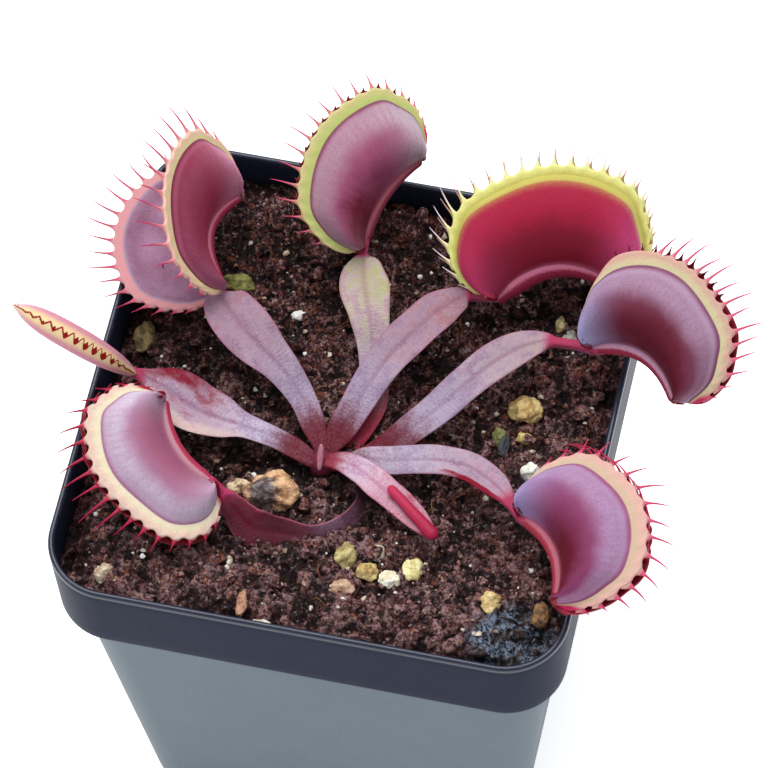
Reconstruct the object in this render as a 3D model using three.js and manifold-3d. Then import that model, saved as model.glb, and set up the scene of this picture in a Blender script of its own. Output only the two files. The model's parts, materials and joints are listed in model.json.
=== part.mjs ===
// Potted Venus flytrap: a rosette of eight leaves with their snap traps, rooted in a square nursery pot.
// Millimetres, +Z up, +X along the pot's front edge. The origin is on the ground under the pot's centre.

import * as THREE from 'three';
import { mergeVertices } from 'three/addons/utils/BufferGeometryUtils.js';
import Module from 'manifold-3d';

const wasm = await Module();
wasm.setup();

// Clearance kept wherever one piece stands in, lies on or passes another.
const clearance = 0.3;

// Pot
const rimWidth = 90;
const rimHeight = 95;
const rimRadius = 11;
const bandHeight = 18.2;
const bandFootWidth = 88.8;
const bodyTopWidth = 83.2;
const footWidth = 69.4;
const footRadius = 7;
const potWall = 1.1;
const potFloor = 1.6;
const lipRounding = 0.35;
const drainHoleRadius = 4;
const drainHoleOffset = 19;
const cornerSteps = 4;

// Soil
const soilLevel = 89.2;
const soilFrontRise = 2.2;
const soilCells = 25;
const soilFloor = 2;

// Crown that all the leaves grow from
const crownPlace = [-3.4, -9.6];
const crownTop = 91.4;

// Leaf stalks. Each row is one point of a stalk's centre line: x, y, z, blade width and bank in degrees.
const bladeEdge = 0.6;
const bladeMiddle = 1.25;
const bladeChannel = 0.09;
const bladeWave = 0.35;
const stalkSteps = 12;

const stalks = {
  petiole_upper_right: [
    [-2.2, -6.4, 89.6, 3.2, 5], [-1.3, -4.1, 91.0, 5.0, 8], [0.6, 0.1, 93.5, 5.6, 8],
    [2.5, 4.6, 95.5, 6.0, 8], [4.8, 9.1, 97.0, 6.8, 8], [7.7, 13.5, 98.0, 7.5, 5],
    [10.8, 17.9, 98.5, 7.2, 0], [14.0, 21.2, 98.5, 4.0, 0], [16.1, 22.4, 98.5, 1.8, 0],
    [20.6, 23.0, 98.9, 1.6, 0],
  ],
  petiole_front: [
    [-1.4, -10.2, 91.2, 3.0, 0], [1.1, -10.6, 92.4, 4.2, 0], [4.9, -12.6, 93.6, 4.9, 0],
    [8.5, -15.2, 94.4, 5.4, 0], [12.0, -17.4, 94.8, 4.9, 0], [15.3, -19.8, 95.0, 3.9, 0],
    [17.5, -21.4, 94.9, 2.6, 0], [18.7, -22.3, 95.0, 1.8, 0],
  ],
  petiole_upper_left: [
    [-4.3, -7.0, 89.5, 2.8, 0], [-6.2, -3.8, 91.0, 4.2, -5], [-9.0, 0.2, 92.6, 4.7, -8],
    [-13.2, 3.5, 95.6, 6.2, -8], [-18.0, 6.1, 98.2, 8.6, -5], [-22.4, 9.2, 99.8, 9.4, 0],
    [-25.3, 12.0, 100.2, 6.6, 0], [-26.2, 13.5, 100.5, 2.0, 0], [-26.1, 14.3, 100.9, 1.6, 0],
  ],
  petiole_left: [
    [-5.6, -9.8, 90.0, 3.2, 0], [-8.0, -9.2, 91.1, 4.0, 8], [-12.0, -8.4, 92.4, 4.4, 10],
    [-16.5, -8.0, 93.5, 5.4, 10], [-21.0, -7.8, 94.5, 8.0, 8], [-26.1, -7.1, 95.6, 10.2, 5],
    [-30.8, -5.3, 97.0, 8.2, 0], [-34.6, -4.6, 98.4, 2.8, 0], [-37.7, -4.6, 100.2, 1.6, 0],
  ],
  petiole_lower_right: [
    [1.0, -8.9, 89.4, 3.0, 0], [4.0, -8.5, 91.0, 4.4, 5], [8.7, -8.7, 92.5, 5.2, 8],
    [13.3, -8.4, 94.0, 5.2, 8], [18.1, -8.5, 95.5, 5.3, 8], [22.8, -9.4, 96.5, 5.3, 8],
    [27.0, -11.7, 97.2, 4.8, 5], [29.9, -14.2, 97.7, 2.6, 0], [31.3, -16.0, 98.4, 1.8, 0],
    [33.6, -19.1, 101.1, 1.6, 0],
  ],
  petiole_right: [
    [2.4, -7.4, 88.4, 3.0, 0], [7.2, -4.8, 90.3, 4.8, 5], [11.2, -1.7, 93.0, 5.5, 8],
    [15.0, 1.9, 95.0, 5.8, 8], [18.5, 5.8, 97.0, 6.1, 8], [22.2, 9.8, 98.5, 6.7, 8],
    [26.4, 13.3, 99.5, 6.2, 5], [30.0, 15.0, 100.0, 3.2, 0], [32.4, 15.3, 100.5, 1.7, 0],
    [35.8, 14.9, 101.6, 1.6, 0], [39.0, 14.0, 102.8, 1.6, 0],
  ],
  petiole_top: [
    [0.6, -6.0, 88.0, 2.8, 0], [3.0, 1.5, 90.3, 4.6, 0], [2.1, 7.0, 91.5, 4.9, 0],
    [0.9, 12.0, 93.5, 5.5, 0], [-0.7, 16.5, 96.0, 7.1, 0], [-2.6, 21.2, 97.5, 8.7, 0],
    [-3.5, 24.8, 98.1, 5.2, 0], [-4.0, 26.6, 98.6, 1.8, 0], [-4.1, 28.2, 99.4, 1.6, 0],
  ],
  petiole_lower_left: [
    [3.4, -12.4, 87.8, 2.8, -30], [5.2, -16.2, 89.0, 4.4, -50], [2.9, -21.0, 89.4, 4.6, -55],
    [-1.4, -24.2, 89.9, 4.8, -55], [-6.5, -24.8, 91.0, 5.8, -55], [-11.3, -25.6, 92.3, 7.6, -50],
    [-14.9, -23.8, 94.4, 4.0, -40], [-17.4, -22.3, 96.4, 1.8, -15], [-19.1, -21.8, 98.2, 1.6, 0],
  ],
};

// Traps. Each stands on its root point and turns by a heading, a climb of its midrib and a lean of its lobes.
// The outline of a lobe is its chord, its midrib's sag, its height and how far it runs past both ends.
const trapWall = 0.75;
const lobeGap = 0.15;
const foldHalf = 0.5;
const midribRadius = 1.1;
const trapRows = 11;
const trapColumns = 6;
const toothWidth = 1.7;

const traps = {
  trap_upper_left: {
    root: [-26.1, 14.4, 101], heading: 94, climb: 0, lean: -64, chord: 17.7, sag: 4.1, height: 21,
    overNear: 5, overFar: 5.1, skew: 2, open: 40, fat: 0.9, teeth: 11, toothLength: 7, toothLean: 0.35,
  },
  trap_top: {
    root: [-4.1, 28.5, 99.5], heading: 64, climb: 22, lean: -59, chord: 17.2, sag: 1.7, height: 18.1,
    overNear: 4.9, overFar: 6, skew: 2.7, open: 0, fat: 0.9, teeth: 11, toothLength: 5.5, toothLean: 0.25,
  },
  trap_upper_right: {
    root: [21, 23.1, 99], heading: 12, climb: 6, lean: -53, chord: 21.1, sag: 4.5, height: 22,
    overNear: 7.9, overFar: 5.4, skew: 0, open: 0, fat: 0.9, teeth: 12, toothLength: 5.5, toothLean: 0.2,
  },
  trap_right: {
    root: [39.4, 13.9, 103], heading: -27, climb: 4, lean: -57, chord: 17.2, sag: 3.5, height: 20.7,
    overNear: 4.5, overFar: 6.9, skew: -1.9, open: 0, fat: 0.9, teeth: 11, toothLength: 6.5, toothLean: 0.25,
  },
  trap_lower_right: {
    root: [33.9, -19.6, 101.5], heading: -59, climb: -1, lean: -72, chord: 16.6, sag: 2.9, height: 20,
    overNear: 5.9, overFar: 5.3, skew: -1.4, open: 0, fat: 0.9, teeth: 11, toothLength: 5.5, toothLean: 0.25,
  },
  trap_lower_left: {
    root: [-19.4, -21.7, 98.5], heading: 134, climb: 18, lean: -92, chord: 15.9, sag: 2.2, height: 16.5,
    overNear: 7.7, overFar: 5.3, skew: 1.4, open: 0, fat: 0.9, teeth: 11, toothLength: 5.5, toothLean: 0.25,
  },
  trap_left: {
    root: [-38, -4.6, 100.5], heading: 169, climb: 22, lean: -24, chord: 21.9, sag: 2, height: 11.5,
    overNear: 0, overFar: 0.8, skew: 0, open: 0, fat: 0.62, teeth: 9, toothLength: 1.2, toothLean: 0.6,
    slender: true,
  },
};

// Young folded trap at the tip of the front leaf, lying back on its stalk
const youngTrapTip = [18.9, -22.7, 96.2];
const youngTrapEnd = [9.9, -15.5, 96.4];
const youngTrapRadius = 1.25;

// Stones and crumbs of grit: x, y and the three half sizes
const stones = {
  grit_tan_lump: [-10.3, -17.4, 4.2, 3.2, 3.0],
  grit_cream_by_lump: [-16.0, -17.6, 2.0, 1.6, 1.6],
  grit_front_ochre: [5.1, -27.6, 1.8, 2.3, 1.6],
  grit_front_amber: [9.2, -29.6, 1.9, 1.9, 1.5],
  grit_front_cream: [13.0, -30.4, 1.7, 1.6, 1.5],
  grit_front_yellow: [16.6, -27.6, 1.6, 1.8, 1.4],
  grit_lower_right_yellow: [31.0, -31.5, 1.8, 1.7, 1.5],
  grit_lower_right_tan: [39.6, -32.6, 1.5, 2.3, 1.7],
  grit_right_yellow: [29.3, 6.8, 2.8, 2.6, 1.9],
  grit_upper_left_olive: [-39.0, 8.2, 2.4, 2.6, 1.9],
};

// Brown scrap of an old leaf
const scrapPlace = [14.6, -3.4];

const deg = Math.PI / 180;

// A repeatable number from 0 to 1 for any whole number.
function randomFrom(seed) {
  const x = Math.sin(seed * 127.1 + 311.7) * 43758.5453;
  return x - Math.floor(x);
}

function smoothStep(x) {
  const t = Math.min(1, Math.max(0, x));
  return t * t * (3 - 2 * t);
}

function vector(list) {
  return new THREE.Vector3(list[0], list[1], list[2]);
}

function smoothCurve(points) {
  return new THREE.CatmullRomCurve3(points, false, 'catmullrom', 0.5);
}

// Closed geometry to solid and back
function solidOf(geometry) {
  const plain = geometry.index ? geometry : geometry.clone();
  const bare = new THREE.BufferGeometry();
  bare.setAttribute('position', plain.getAttribute('position').clone());
  if (plain.index) bare.setIndex(plain.index.clone());
  const merged = mergeVertices(bare, 1e-5);
  const mesh = new wasm.Mesh({
    numProp: 3,
    vertProperties: new Float32Array(merged.getAttribute('position').array),
    triVerts: new Uint32Array(merged.getIndex().array),
  });
  return new wasm.Manifold(mesh);
}

function geometryOf(solid) {
  const mesh = solid.getMesh();
  const geometry = new THREE.BufferGeometry();
  geometry.setAttribute('position', new THREE.BufferAttribute(new Float32Array(mesh.vertProperties), 3));
  geometry.setIndex(new THREE.BufferAttribute(new Uint32Array(mesh.triVerts), 1));
  const flat = geometry.toNonIndexed();
  flat.computeVertexNormals();
  return flat;
}

// The largest body of a solid, without the scraps that a cut leaves.
function largestBody(solid) {
  return solid.decompose().reduce((best, body) => (body.volume() > best.volume() ? body : best));
}

// A closed solid from points and faces, turned outside out where its faces point in.
function solidFrom(points, faces) {
  let volume = 0;
  for (const [a, b, c] of faces) volume += points[a].dot(points[b].clone().cross(points[c]));
  const ordered = volume > 0 ? faces : faces.map(([a, b, c]) => [a, c, b]);
  return new wasm.Manifold(new wasm.Mesh({
    numProp: 3,
    vertProperties: new Float32Array(points.flatMap((p) => [p.x, p.y, p.z])),
    triVerts: new Uint32Array(ordered.flat()),
  }));
}

// A plate between two grids of points, with both faces split into triangles alike.
function plateSolid(front, back) {
  const rows = front.length;
  const columns = front[0].length;
  const points = [...front.flat(), ...back.flat()];
  const shift = rows * columns;
  const at = (i, j) => i * columns + j;
  const faces = [];
  for (let i = 0; i < rows - 1; i++) {
    for (let j = 0; j < columns - 1; j++) {
      const [a, b, c, d] = [at(i, j), at(i + 1, j), at(i + 1, j + 1), at(i, j + 1)];
      faces.push([a, b, c], [a, c, d]);
      faces.push([a + shift, c + shift, b + shift], [a + shift, d + shift, c + shift]);
    }
  }
  const border = [];
  for (let i = 0; i < rows - 1; i++) border.push(at(i, 0));
  for (let j = 0; j < columns - 1; j++) border.push(at(rows - 1, j));
  for (let i = rows - 1; i > 0; i--) border.push(at(i, columns - 1));
  for (let j = columns - 1; j > 0; j--) border.push(at(0, j));
  border.forEach((p, k) => {
    const q = border[(k + 1) % border.length];
    faces.push([q, p, p + shift], [q, p + shift, q + shift]);
  });
  return solidFrom(points, faces);
}

// A solid lofted through rings with the same number of points, closed at both ends.
function loftSolid(rings) {
  const count = rings[0].length;
  const points = rings.flat();
  const faces = [];
  for (let r = 0; r < rings.length - 1; r++) {
    for (let k = 0; k < count; k++) {
      const [a, b] = [r * count + k, r * count + (k + 1) % count];
      faces.push([a, b, b + count], [a, b + count, a + count]);
    }
  }
  const last = (rings.length - 1) * count;
  for (let k = 1; k < count - 1; k++) {
    faces.push([0, k + 1, k], [last, last + k, last + k + 1]);
  }
  return solidFrom(points, faces);
}

function roundedSquareRing(width, radius, z) {
  const ring = [];
  const reach = width / 2 - radius;
  for (let corner = 0; corner < 4; corner++) {
    const start = corner * 90;
    const cx = reach * (corner === 0 || corner === 3 ? 1 : -1);
    const cy = reach * (corner < 2 ? 1 : -1);
    for (let k = 0; k <= cornerSteps; k++) {
      const angle = (start + (90 * k) / cornerSteps) * deg;
      ring.push(new THREE.Vector3(cx + radius * Math.cos(angle), cy + radius * Math.sin(angle), z));
    }
  }
  return ring;
}

// Pot: a tapered square body with a taller, wider band round its mouth.
const bandFoot = rimHeight - bandHeight;
const bodyTaper = (bodyTopWidth - footWidth) / bandFoot;
const shoulderRise = 1.5;

function bodyWidthAt(z) {
  return footWidth + bodyTaper * z;
}

function potOutside() {
  const lip = lipRounding;
  return loftSolid([
    roundedSquareRing(footWidth, footRadius, 0),
    roundedSquareRing(bodyTopWidth, footRadius + 1.5, bandFoot),
    roundedSquareRing(bandFootWidth, rimRadius - 0.6, bandFoot + 0.02),
    roundedSquareRing(bandFootWidth + 0.2, rimRadius - 0.5, bandFoot + 0.5),
    roundedSquareRing(rimWidth, rimRadius, rimHeight - lip),
    roundedSquareRing(rimWidth - 2 * lip, rimRadius - lip, rimHeight),
  ]);
}

// The space inside the pot, shrunk by a margin for what fills it.
function potInside(margin, floorHeight, topHeight) {
  const inset = 2 * (potWall + margin);
  const bandWidthAt = (z) => bandFootWidth + ((rimWidth - bandFootWidth) * (z - bandFoot)) / bandHeight;
  const shoulder = bandFoot + shoulderRise;
  return loftSolid([
    roundedSquareRing(bodyWidthAt(floorHeight) - inset, footRadius - potWall, floorHeight),
    roundedSquareRing(bodyWidthAt(bandFoot) - inset, footRadius, bandFoot + margin),
    roundedSquareRing(bandWidthAt(shoulder) - inset, rimRadius - 2, shoulder + margin),
    roundedSquareRing(bandWidthAt(topHeight) - inset, rimRadius - potWall, topHeight),
  ]);
}

function drainHole(x, y) {
  const hole = new THREE.CylinderGeometry(drainHoleRadius, drainHoleRadius, 6, 14);
  hole.rotateX(90 * deg);
  hole.translate(x, y, 0);
  return solidOf(hole);
}

function potSolid() {
  let pot = potOutside().subtract(potInside(0, potFloor, rimHeight + 1));
  for (const sx of [-1, 1]) {
    for (const sy of [-1, 1]) pot = pot.subtract(drainHole(sx * drainHoleOffset, sy * drainHoleOffset));
  }
  return pot;
}

// Soil: an uneven peat surface, higher at the front, sunk along the left wall and in the back right corner.
function crumble(x, y) {
  let height = 0;
  height += 0.55 * Math.sin(0.61 * x + 1.3 * Math.sin(0.37 * y)) * Math.sin(0.53 * y + 0.9);
  height += 0.4 * Math.sin(1.31 * x + 0.8 * y + 2.0) * Math.sin(1.13 * y - 0.45 * x);
  height += 0.28 * Math.sin(2.3 * x - 1.7 * y + 0.6) * Math.sin(1.9 * x + 2.1 * y);
  return height;
}

function soilHeight(x, y) {
  let height = soilLevel;
  height += soilFrontRise * smoothStep((-y - 16) / 18);
  height -= 4 * smoothStep((-x - 36) / 7);
  height -= 3 * smoothStep((y - 37) / 6) * smoothStep((x - 2) / 8);
  height -= 1.4 * smoothStep((Math.max(Math.abs(x), Math.abs(y)) - 39.5) / 3.5);
  height += 3.2 * Math.exp(-((x - 1) ** 2 + (y - 37.5) ** 2) / 22);
  height += 1.4 * Math.exp(-((x + 33) ** 2 + (y + 30) ** 2) / 50);
  height += 1.2 * Math.exp(-((x - 30) ** 2 + (y + 38) ** 2) / 60);
  return height + crumble(x, y);
}

function soilBlock() {
  const half = rimWidth / 2;
  const top = [];
  const bottom = [];
  for (let i = 0; i <= soilCells; i++) {
    const x = -half + (rimWidth * i) / soilCells;
    top.push([]);
    bottom.push([]);
    for (let j = 0; j <= soilCells; j++) {
      const y = -half + (rimWidth * j) / soilCells;
      top[i].push(new THREE.Vector3(x, y, soilHeight(x, y)));
      bottom[i].push(new THREE.Vector3(x, y, 0));
    }
  }
  return plateSolid(top, bottom);
}

function soilSolid(standing) {
  let soil = soilBlock().intersect(potInside(clearance, soilFloor, rimHeight));
  for (const piece of standing) soil = soil.subtract(piece);
  return largestBody(soil);
}

// Crown: a short bulb in the soil with the folded centre bud on top. A margin makes the hole it stands in.
function crownSolid(margin) {
  const [x, y] = crownPlace;
  const profile = [[0, -6], [1.8, -6], [2.2, -4], [2.0, -1.8], [1.2, -0.6], [0, -0.2]];
  const points = profile.map(([r, z]) => new THREE.Vector2(r > 0 ? r + margin : 0, z + (z < 0 ? 0 : margin)));
  points[0].y -= margin;
  points[1].y -= margin;
  const bulb = new THREE.LatheGeometry(points, 9);
  bulb.rotateX(90 * deg);
  bulb.translate(x, y, crownTop);
  const bud = new THREE.SphereGeometry(1, 8, 6);
  bud.scale(0.8 + margin, 0.65 + margin, 2.6 + margin);
  bud.rotateX(-14 * deg);
  bud.translate(x + 0.2, y, crownTop + 0.6);
  return solidOf(bulb).add(solidOf(bud));
}

// Stalk: a leaf-like blade with a shallow channel and a waved edge, drawn out to a round neck at its trap.
function stalkSolid(keys, margin) {
  const route = smoothCurve(keys.map(vector));
  const shape = smoothCurve(keys.map((key) => new THREE.Vector3(key[3], key[4], 0)));
  const steps = Math.max(stalkSteps, keys.length + 3);
  const front = [];
  const back = [];
  for (let i = 0; i <= steps; i++) {
    const t = i / steps;
    const centre = route.getPoint(t);
    const ahead = route.getPoint(Math.min(1, t + 0.01));
    const along = ahead.sub(route.getPoint(Math.max(0, t - 0.01))).normalize();
    const { x: width, y: bankDegrees } = shape.getPoint(t);
    const bank = bankDegrees * deg;
    const side = new THREE.Vector3(0, 0, 1).cross(along).normalize();
    const up = along.clone().cross(side);
    const across = side.clone().multiplyScalar(Math.cos(bank)).addScaledVector(up, Math.sin(bank));
    const normal = along.clone().cross(across);
    const row = [[], []];
    for (let j = -2; j <= 2; j++) {
      const u = j / 2;
      const wave = bladeWave * Math.sin(t * 17 + u) * smoothStep((width - 3) / 4);
      const lift = u * u * (bladeChannel * width + wave);
      const half = (bladeEdge + (bladeMiddle - bladeEdge) * (1 - u * u)) / 2 + margin;
      const middle = centre.clone().addScaledVector(across, u * (width / 2 + margin));
      middle.addScaledVector(normal, lift);
      row[0].push(middle.clone().addScaledVector(normal, half));
      row[1].push(middle.clone().addScaledVector(normal, -half));
    }
    front.push(row[0]);
    back.push(row[1]);
  }
  return plateSolid(front, back);
}

// Trap: two lobes hinged along a curved midrib.
function lobeOutline(trap) {
  const { chord, height, overNear, overFar, skew } = trap;
  const points = trap.slender ? [
    [-0.03 * chord, 0.03], [0, 0.22], [0.07 * chord, 0.45], [0.17 * chord, 0.68], [0.3 * chord, 0.86],
    [0.42 * chord, 0.96], [0.55 * chord, 1], [0.7 * chord, 0.98], [0.84 * chord, 0.9], [0.95 * chord, 0.75],
    [1.03 * chord, 0.52], [1.04 * chord, 0.25], [1.02 * chord, 0],
  ] : [
    [-0.03 * chord, 0.03], [-0.62 * overNear, 0.07], [-0.97 * overNear, 0.27], [-0.98 * overNear, 0.5],
    [-0.62 * overNear, 0.75], [0.14 * chord, 0.93], [0.5 * chord, 1], [0.86 * chord, 0.94],
    [chord + 0.6 * overFar, 0.77], [chord + 0.9 * overFar, 0.57], [chord + overFar, 0.36],
    [chord + 0.68 * overFar, 0.11], [1.02 * chord, 0],
  ];
  return smoothCurve(points.map(([x, share]) => new THREE.Vector3(x + skew * share, 0, share * height)));
}

// Half thickness of a closed trap from midrib to margin, in shares of its height: pillow, crease, flange.
const pillow = [0, 0.17, 0.25, 0.285, 0.28, 0.23, 0.115, 0.045, 0.04];
const pillowCurve = smoothCurve(pillow.map((y) => new THREE.Vector3(0, y, 0)));

function midribPoint(trap, g) {
  return new THREE.Vector3(trap.chord * g, 0, trap.sag * 4 * g * (1 - g));
}

// A point of a lobe's outer face: s runs along the margin, v from the midrib to the margin.
function lobePoint(trap, outline, side, s, v) {
  const g = Math.min(1, Math.max(0, (s - 0.16) / 0.68));
  const hinge = midribPoint(trap, g);
  const reach = outline.getPoint(s).sub(hinge).multiplyScalar(v);
  const ends = Math.sin(Math.PI * s) ** 0.45;
  const open = trap.open * deg;
  let lateral = foldHalf + (lobeGap + trapWall - foldHalf) * Math.min(1, v / 0.12);
  lateral += pillowCurve.getPoint(v).y * trap.height * trap.fat * ends;
  lateral += reach.z * Math.sin(open);
  return new THREE.Vector3(hinge.x + reach.x, side * lateral, hinge.z + reach.z * Math.cos(open));
}

function lobeNormal(trap, outline, side, s, v) {
  const d = 0.01;
  const [s0, s1, v0, v1] = [Math.max(0, s - d), Math.min(1, s + d), Math.max(0, v - d), Math.min(1, v + d)];
  const along = lobePoint(trap, outline, side, s1, v).sub(lobePoint(trap, outline, side, s0, v));
  const outward = lobePoint(trap, outline, side, s, v1).sub(lobePoint(trap, outline, side, s, v0));
  const normal = outward.cross(along).normalize();
  return normal.y * side < 0 ? normal.negate() : normal;
}

function lobeSolid(trap, side, margin) {
  const outline = lobeOutline(trap);
  const outer = [];
  const inner = [];
  for (let i = 0; i < trapRows; i++) {
    const s = 0.04 + (0.92 * i) / (trapRows - 1);
    outer.push([]);
    inner.push([]);
    for (let j = 0; j < trapColumns; j++) {
      const v = [0, 0.14, 0.38, 0.64, 0.83, 1][j];
      const point = lobePoint(trap, outline, side, s, v);
      const normal = lobeNormal(trap, outline, side, s, v);
      outer[i].push(point.clone().addScaledVector(normal, margin));
      inner[i].push(point.clone().addScaledVector(normal, -trapWall - margin));
    }
  }
  return plateSolid(outer, inner);
}

// A three-sided spine on a lobe's margin, with its root sunk in the flange.
function toothSolid(trap, side, s, length) {
  const outline = lobeOutline(trap);
  const root = lobePoint(trap, outline, side, s, 1);
  const normal = lobeNormal(trap, outline, side, s, 0.97);
  const outward = root.clone().sub(lobePoint(trap, outline, side, s, 0.9)).normalize();
  const point = outward.clone().add(new THREE.Vector3(0, -side * trap.toothLean, 0)).normalize();
  const sink = 0.6;
  root.addScaledVector(normal, -trapWall / 2).addScaledVector(outward, -sink);
  const cone = new THREE.ConeGeometry(toothWidth / 2, length + sink, 3, 1);
  cone.translate(0, (length + sink) / 2, 0);
  cone.scale(1, 1, 0.4);
  const across = point.clone().cross(normal).normalize();
  const depth = across.clone().cross(point).normalize();
  cone.applyMatrix4(new THREE.Matrix4().makeBasis(across, point, depth).setPosition(root));
  return solidOf(cone);
}

function midribSolid(trap, margin) {
  const rings = [];
  const steps = 8;
  for (let i = 0; i <= steps; i++) {
    const g = i / steps;
    const centre = midribPoint(trap, g);
    const ahead = midribPoint(trap, Math.min(1, g + 0.02));
    ahead.sub(midribPoint(trap, Math.max(0, g - 0.02))).normalize();
    if (i === 0) centre.addScaledVector(ahead, -0.4 - margin);
    const up = ahead.clone().cross(new THREE.Vector3(0, 1, 0)).normalize().negate();
    const radius = midribRadius * (1 - 0.25 * g * g) + margin;
    const ring = [];
    for (let k = 0; k < 6; k++) {
      const angle = ((k + 0.5) * 60) * deg;
      const offset = new THREE.Vector3(0, Math.cos(angle) * radius, 0);
      ring.push(centre.clone().add(offset).addScaledVector(up, Math.sin(angle) * radius));
    }
    rings.push(ring);
  }
  return loftSolid(rings);
}

function trapMatrix(trap) {
  const [h, c, l] = [trap.heading * deg, trap.climb * deg, trap.lean * deg];
  const along = new THREE.Vector3(Math.cos(h) * Math.cos(c), Math.sin(h) * Math.cos(c), Math.sin(c));
  const level = new THREE.Vector3(-Math.sin(h), Math.cos(h), 0);
  const up = along.clone().cross(level);
  const across = level.multiplyScalar(Math.cos(l)).addScaledVector(up, Math.sin(l));
  const toward = along.clone().cross(across);
  return new THREE.Matrix4().makeBasis(along, across, toward).setPosition(vector(trap.root));
}

function placed(solid, matrix) {
  return solid.transform(matrix.elements);
}

function trapSolid(trap) {
  let solid = midribSolid(trap, 0);
  for (const side of [-1, 1]) {
    solid = solid.add(lobeSolid(trap, side, 0));
    for (let k = 0; k < trap.teeth; k++) {
      const shift = side > 0 ? 0.5 : 0;
      const share = (k + shift) / trap.teeth;
      const s = 0.15 + 0.71 * share;
      const length = trap.toothLength * (0.3 + 0.7 * Math.sin(Math.PI * Math.min(1, share + 0.04)) ** 0.6);
      solid = solid.add(toothSolid(trap, side, s, length));
    }
  }
  return placed(largestBody(solid), trapMatrix(trap));
}

// The room that a trap's midrib and lobes need clear of its stalk.
function trapRoom(trap) {
  const lobes = [-1, 1].map((side) => lobeSolid(trap, side, clearance));
  return [midribSolid(trap, clearance), ...lobes].map((part) => placed(part, trapMatrix(trap)));
}

// Young trap: a small closed pod, thickest where it joins its stalk.
function youngTrapSolid(margin) {
  const tip = vector(youngTrapTip);
  const end = vector(youngTrapEnd);
  const length = tip.distanceTo(end);
  const r = youngTrapRadius + margin;
  const profile = [
    [0, -r], [0.7 * r, -0.7 * r], [r, 0],
    [0.92 * r, 0.4 * length], [0.62 * r, 0.85 * length], [0, length + margin],
  ];
  const pod = new THREE.LatheGeometry(profile.map(([x, y]) => new THREE.Vector2(x, y)), 10);
  pod.scale(1, 1, 0.8);
  const along = end.clone().sub(tip).normalize();
  const side = new THREE.Vector3(0, 0, 1).cross(along).normalize();
  const up = side.clone().cross(along);
  pod.applyMatrix4(new THREE.Matrix4().makeBasis(side, along, up).setPosition(tip));
  return solidOf(pod);
}

// Stone: a lump with uneven corners, sunk by a third in the soil.
function stoneSolid(index, [x, y, rx, ry, rz], margin) {
  const lump = new THREE.DodecahedronGeometry(1, 0);
  const position = lump.getAttribute('position');
  for (let i = 0; i < position.count; i++) {
    const p = new THREE.Vector3().fromBufferAttribute(position, i);
    const key = Math.round(p.x * 7 + 40) + 90 * Math.round(p.y * 7 + 40) + 8100 * Math.round(p.z * 7 + 40);
    const k = 0.84 + 0.3 * randomFrom(key + index * 17);
    position.setXYZ(i, p.x * k * (rx + margin), p.y * k * (ry + margin), p.z * k * (rz + margin));
  }
  lump.rotateZ(randomFrom(index) * 0.8);
  lump.translate(x, y, soilHeight(x, y) + rz * 0.3);
  return solidOf(lump);
}

// Scrap: a thin toothed flake of dry leaf lying on the soil.
function scrapSolid(margin) {
  const outline = new THREE.Shape();
  outline.moveTo(-3.2 - margin, -1 - margin);
  outline.lineTo(3.2 + margin, -0.7 - margin);
  outline.lineTo(3 + margin, 0.6 + margin);
  for (const [x, y] of [[2.2, 0.2], [1.4, 1], [0.6, 0.4], [-0.2, 1.2], [-1, 0.5], [-1.9, 1.3], [-2.6, 0.5]]) {
    outline.lineTo(x, y + margin);
  }
  outline.lineTo(-3.2 - margin, 1 + margin);
  outline.closePath();
  const flake = new THREE.ExtrudeGeometry(outline, { depth: 0.7 + 2 * margin, bevelEnabled: false });
  flake.translate(0, 0, -margin);
  flake.rotateX(18 * deg);
  flake.rotateZ(-8 * deg);
  const [x, y] = scrapPlace;
  flake.translate(x, y, soilHeight(x, y) + 0.5);
  return solidOf(flake);
}

// Materials, with the colours of the real plant
function material(color, roughness) {
  return new THREE.MeshStandardMaterial({ color, roughness, metalness: 0, side: THREE.FrontSide });
}

const colors = {
  pot: 0x3d434d,
  soil: 0x2b1d18,
  crown: 0xa02040,
  petiole_top: 0x8a8a52,
  petiole_front: 0xa8506e,
  petiole_lower_left: 0x6d2234,
  petiole: 0x8c6c8a,
  trap_upper_left: 0xa03a5c,
  trap_top: 0x8e5468,
  trap_upper_right: 0xa8203e,
  trap_left: 0xd9c48a,
  trap: 0x8e4c74,
  young_trap: 0xb02a48,
  stone: 0xc9a25c,
  scrap: 0x5a3a22,
};

const model = new THREE.Group();

function addPiece(name, solid, look) {
  const mesh = new THREE.Mesh(geometryOf(solid), look);
  mesh.name = name;
  model.add(mesh);
}

// Stalks are trimmed where a stalk, the crown or a trap root above them passes, so none of them touch.
function buildStalks() {
  const pieces = {};
  const fatter = [crownSolid(clearance)];
  for (const [name, keys] of Object.entries(stalks)) {
    let stalk = stalkSolid(keys, 0);
    for (const other of fatter) stalk = stalk.subtract(other);
    const trap = traps[name.replace('petiole', 'trap')];
    for (const part of trap ? trapRoom(trap) : []) stalk = stalk.subtract(part);
    if (name === 'petiole_front') stalk = stalk.subtract(youngTrapSolid(clearance));
    pieces[name] = largestBody(stalk);
    fatter.push(stalkSolid(keys, clearance));
  }
  return { pieces, fatter };
}

addPiece('pot', potSolid(), material(colors.pot, 0.45));

const { pieces: stalkPieces, fatter: stalkRoom } = buildStalks();
const stoneEntries = Object.entries(stones);
const stoneRoom = stoneEntries.map(([, size], index) => stoneSolid(index, size, clearance));
addPiece('soil', soilSolid([...stalkRoom, ...stoneRoom, scrapSolid(clearance)]), material(colors.soil, 0.95));
addPiece('crown', crownSolid(0), material(colors.crown, 0.5));

for (const [name, stalk] of Object.entries(stalkPieces)) {
  addPiece(name, stalk, material(colors[name] ?? colors.petiole, 0.55));
}
for (const [name, trap] of Object.entries(traps)) {
  addPiece(name, trapSolid(trap), material(colors[name] ?? colors.trap, 0.5));
}
addPiece('trap_front_young', youngTrapSolid(0), material(colors.young_trap, 0.45));

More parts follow.
